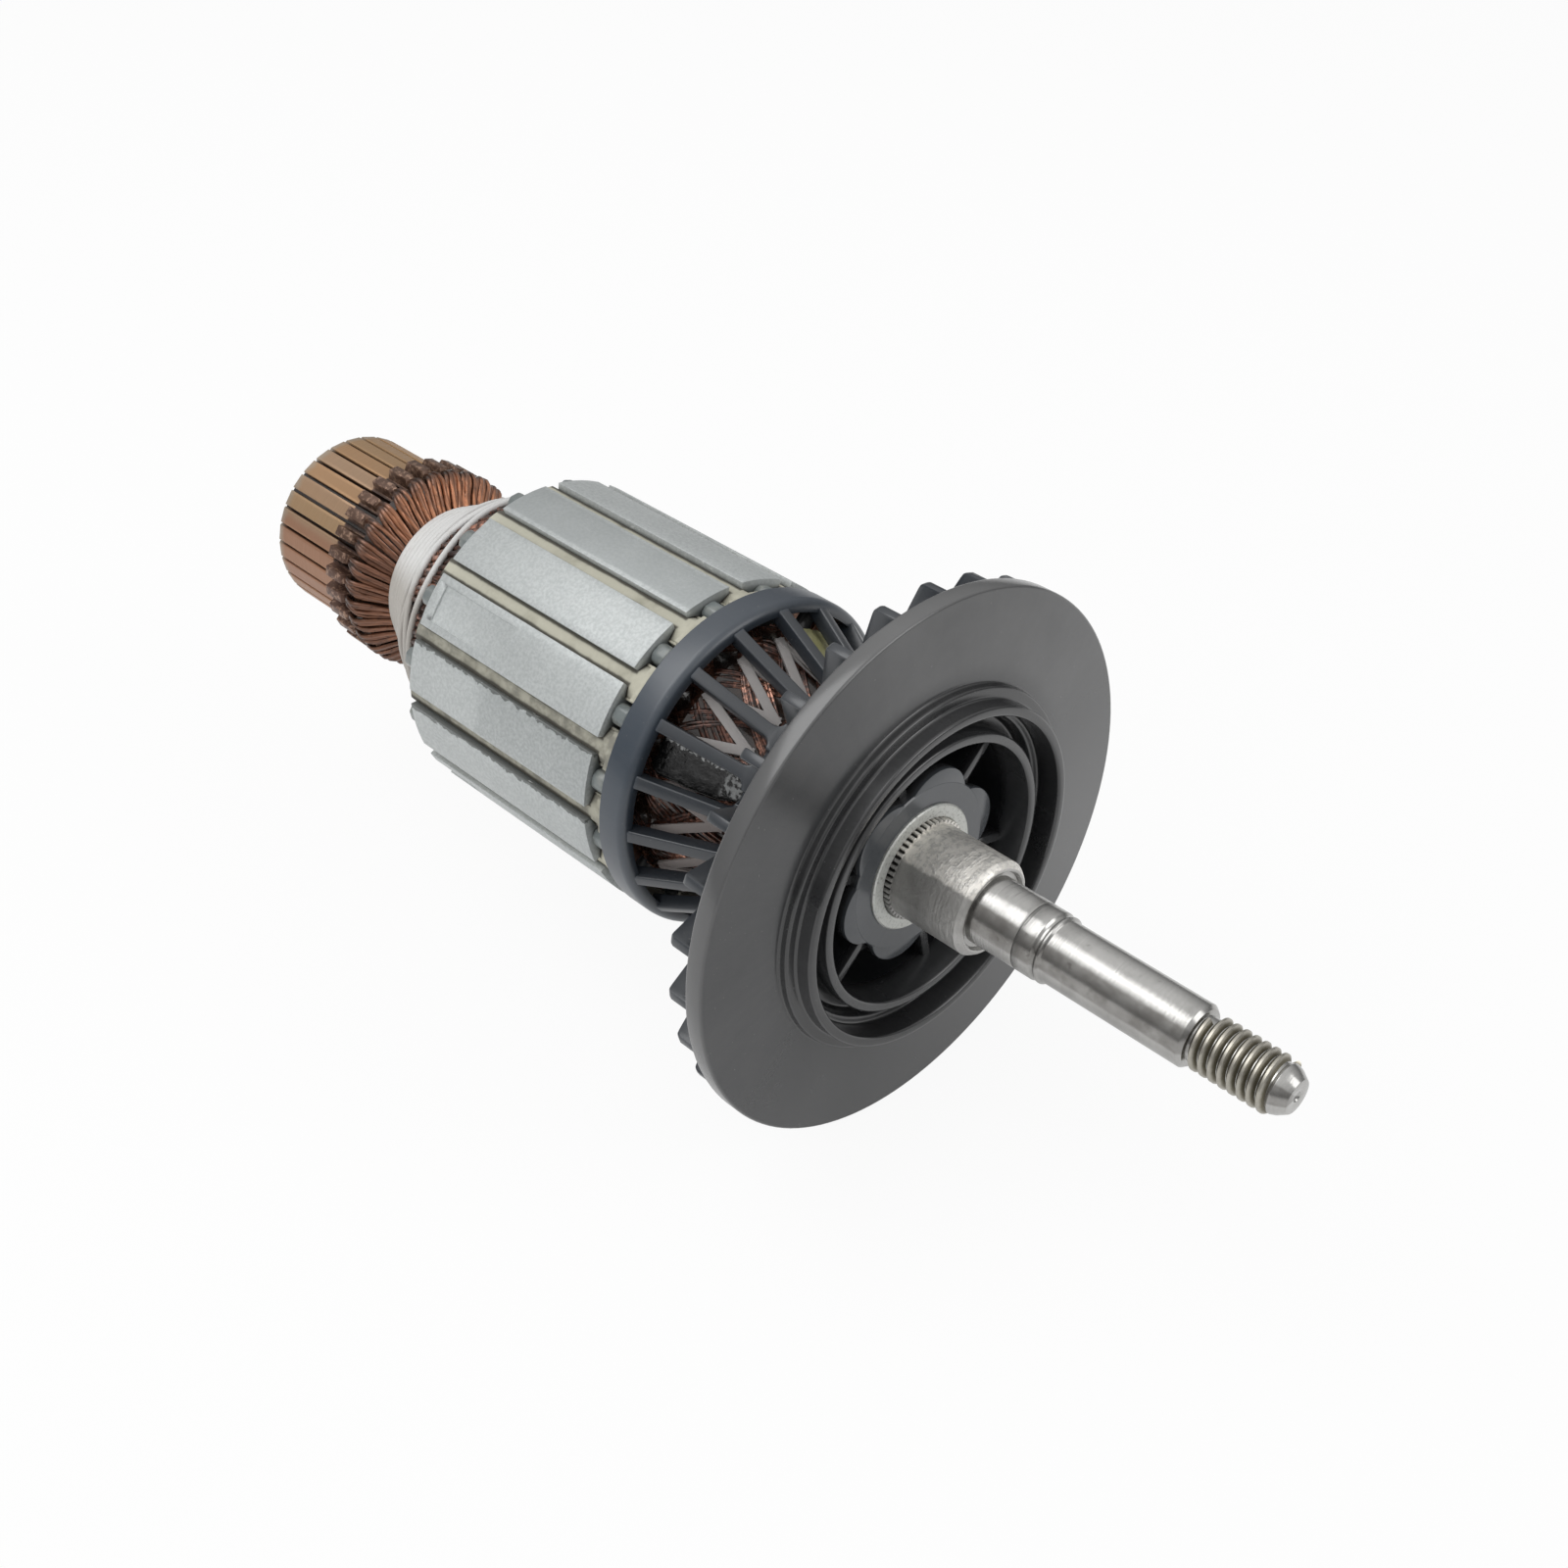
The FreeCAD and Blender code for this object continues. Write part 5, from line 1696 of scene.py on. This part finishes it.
@dataclass
class Studio:
    """Pale floor, soft light and the camera at the photograph's angle."""

    floor_z: float = -41.5
    lens: float = 47.03
    eye: tuple[float, float, float] = (0.1260, -0.1643, 0.1787)
    right: tuple[float, float, float] = (0.7046, 0.7096, 0.0)
    up: tuple[float, float, float] = (-0.4319, 0.4289, 0.7934)
    back: tuple[float, float, float] = (0.5630, -0.5590, 0.6087)
    target: tuple[float, float, float] = (-0.05, 0.0, 0.0)

    def build(self) -> None:
        """Set floor, light and camera."""
        self.floor()
        self.world()
        self.lamp("key_light", (-0.34, -0.27, 0.79), 0.60, 2.7)
        self.lamp("side_light", (0.66, 0.32, 0.50), 0.50, 1.8)
        self.lamp("fill_light", (-0.12, -0.82, 0.38), 0.80, 3.0, False)
        self.camera()
        bpy.context.scene.view_settings.view_transform = "Standard"
        LOG.info("studio set")

    def floor(self) -> None:
        """Lay a pale floor, which the camera sees as near white with the soft shadow kept, and whose glow in
        reflections carries a painted shadow under the object and fades further out.
        """
        clear_selection()
        bpy.ops.mesh.primitive_plane_add(size=6.0, location=(0, 0, self.floor_z * MM))
        floor = bpy.context.object
        floor.name = "studio_floor"
        graph = Graph("floor_paper")
        plain = graph.add("ShaderNodeBsdfDiffuse", {}, {"Color": (0.86, 0.86, 0.86, 1)})
        glow = graph.add("ShaderNodeEmission", {}, {"Color": (1, 1, 1, 1), "Strength": 1.0})
        path = graph.add("ShaderNodeLightPath", {}, {})
        kinds = ("Is Camera Ray", "Is Glossy Ray", "Is Transmission Ray")
        camera, glossy, through = (Value(graph, path.outputs[kind]) for kind in kinds)
        reach = (graph.x * graph.x + graph.y * graph.y).math("SQRT")
        # Painted shadow: the floor's glow seen in reflections is dimmed under the object and fades further
        # away.
        sheet = (0.3 + reach.step(0.01, 0.085) * 0.7) * (1 - reach.step(0.14, 0.50) * 0.85)
        seen = camera * 0.92 + glossy.math("MAXIMUM", through) * sheet * 0.85
        mixed = graph.add("ShaderNodeMixShader", {}, {0: seen, 1: plain.outputs[0], 2: glow.outputs[0]})
        graph.add("ShaderNodeOutputMaterial", {}, {"Surface": mixed.outputs[0]})
        floor.data.materials.append(graph.material)

    def world(self) -> None:
        """Fill the room with soft light, white for the camera and overhead in reflections."""
        world = bpy.data.worlds.new("studio_room")
        bpy.context.scene.world = world
        world.use_nodes = True
        tree = world.node_tree
        tree.nodes.clear()
        way = tree.nodes.new("ShaderNodeTexCoord")
        split = tree.nodes.new("ShaderNodeSeparateXYZ")
        tree.links.new(way.outputs["Generated"], split.inputs[0])
        rooms = []
        path = tree.nodes.new("ShaderNodeLightPath")
        seen = path.outputs["Is Camera Ray"]
        for low, high, strength, least in ((0.25, 1.0, 0.58, None), (0.08, 1.0, 1.0, seen)):
            fade = tree.nodes.new("ShaderNodeMapRange")
            for key, value in (("From Min", 0.0), ("From Max", 0.85), ("To Min", low), ("To Max", high)):
                fade.inputs[key].default_value = value
            floor = tree.nodes.new("ShaderNodeMath")
            floor.operation = "MAXIMUM"
            floor.inputs[1].default_value = 0.0
            room = tree.nodes.new("ShaderNodeBackground")
            room.inputs["Strength"].default_value = strength
            tree.links.new(split.outputs[2], fade.inputs["Value"])
            tree.links.new(fade.outputs["Result"], floor.inputs[0])
            if least:
                tree.links.new(least, floor.inputs[1])
            tree.links.new(floor.outputs[0], room.inputs["Color"])
            rooms.append(room)
        share = seen
        for kind in ("Is Glossy Ray", "Is Transmission Ray"):
            larger = tree.nodes.new("ShaderNodeMath")
            larger.operation = "MAXIMUM"
            tree.links.new(share, larger.inputs[0])
            tree.links.new(path.outputs[kind], larger.inputs[1])
            share = larger.outputs[0]
        mix = tree.nodes.new("ShaderNodeMixShader")
        output = tree.nodes.new("ShaderNodeOutputWorld")
        tree.links.new(share, mix.inputs[0])
        tree.links.new(rooms[0].outputs[0], mix.inputs[1])
        tree.links.new(rooms[1].outputs[0], mix.inputs[2])
        tree.links.new(mix.outputs[0], output.inputs[0])

    def lamp(
        self, name: str, spot: tuple[float, float, float], size: float, power: float, shines: bool = True
    ) -> None:
        """Hang a soft square lamp that looks at the core.

        Args:
            name: Name of the lamp.
            spot: Its place in metres.
            size: Length of its side in metres.
            power: Its power in watts.
            shines: Whether it shows in reflections.
        """
        light = bpy.data.lights.new(name, "AREA")
        light.size = size
        light.energy = power
        lamp = bpy.data.objects.new(name, light)
        bpy.context.scene.collection.objects.link(lamp)
        lamp.location = spot
        lamp.visible_glossy = shines
        aim = Vector(self.target) - Vector(spot)
        lamp.rotation_mode = "QUATERNION"
        lamp.rotation_quaternion = aim.to_track_quat("-Z", "Y")

    def camera(self) -> None:
        """Stand the camera where the photograph was taken."""
        data = bpy.data.cameras.new("photo_camera")
        data.lens = self.lens
        data.sensor_width = 36.0
        data.clip_start = 0.01
        camera = bpy.data.objects.new("photo_camera", data)
        bpy.context.scene.collection.objects.link(camera)
        axes = Matrix((self.right, self.up, self.back)).transposed()
        camera.matrix_world = Matrix.Translation(self.eye) @ axes.to_4x4()
        bpy.context.scene.camera = camera


def main() -> None:
    """Build the armature's pieces in order, then the studio."""
    finishes = Finishes()
    for kind in (Shaft, Core, Commutator, RearWinding, FrontWinding, Fan):
        kind(finishes).build()
    Studio().build()


if __name__ == "__main__":
    main()
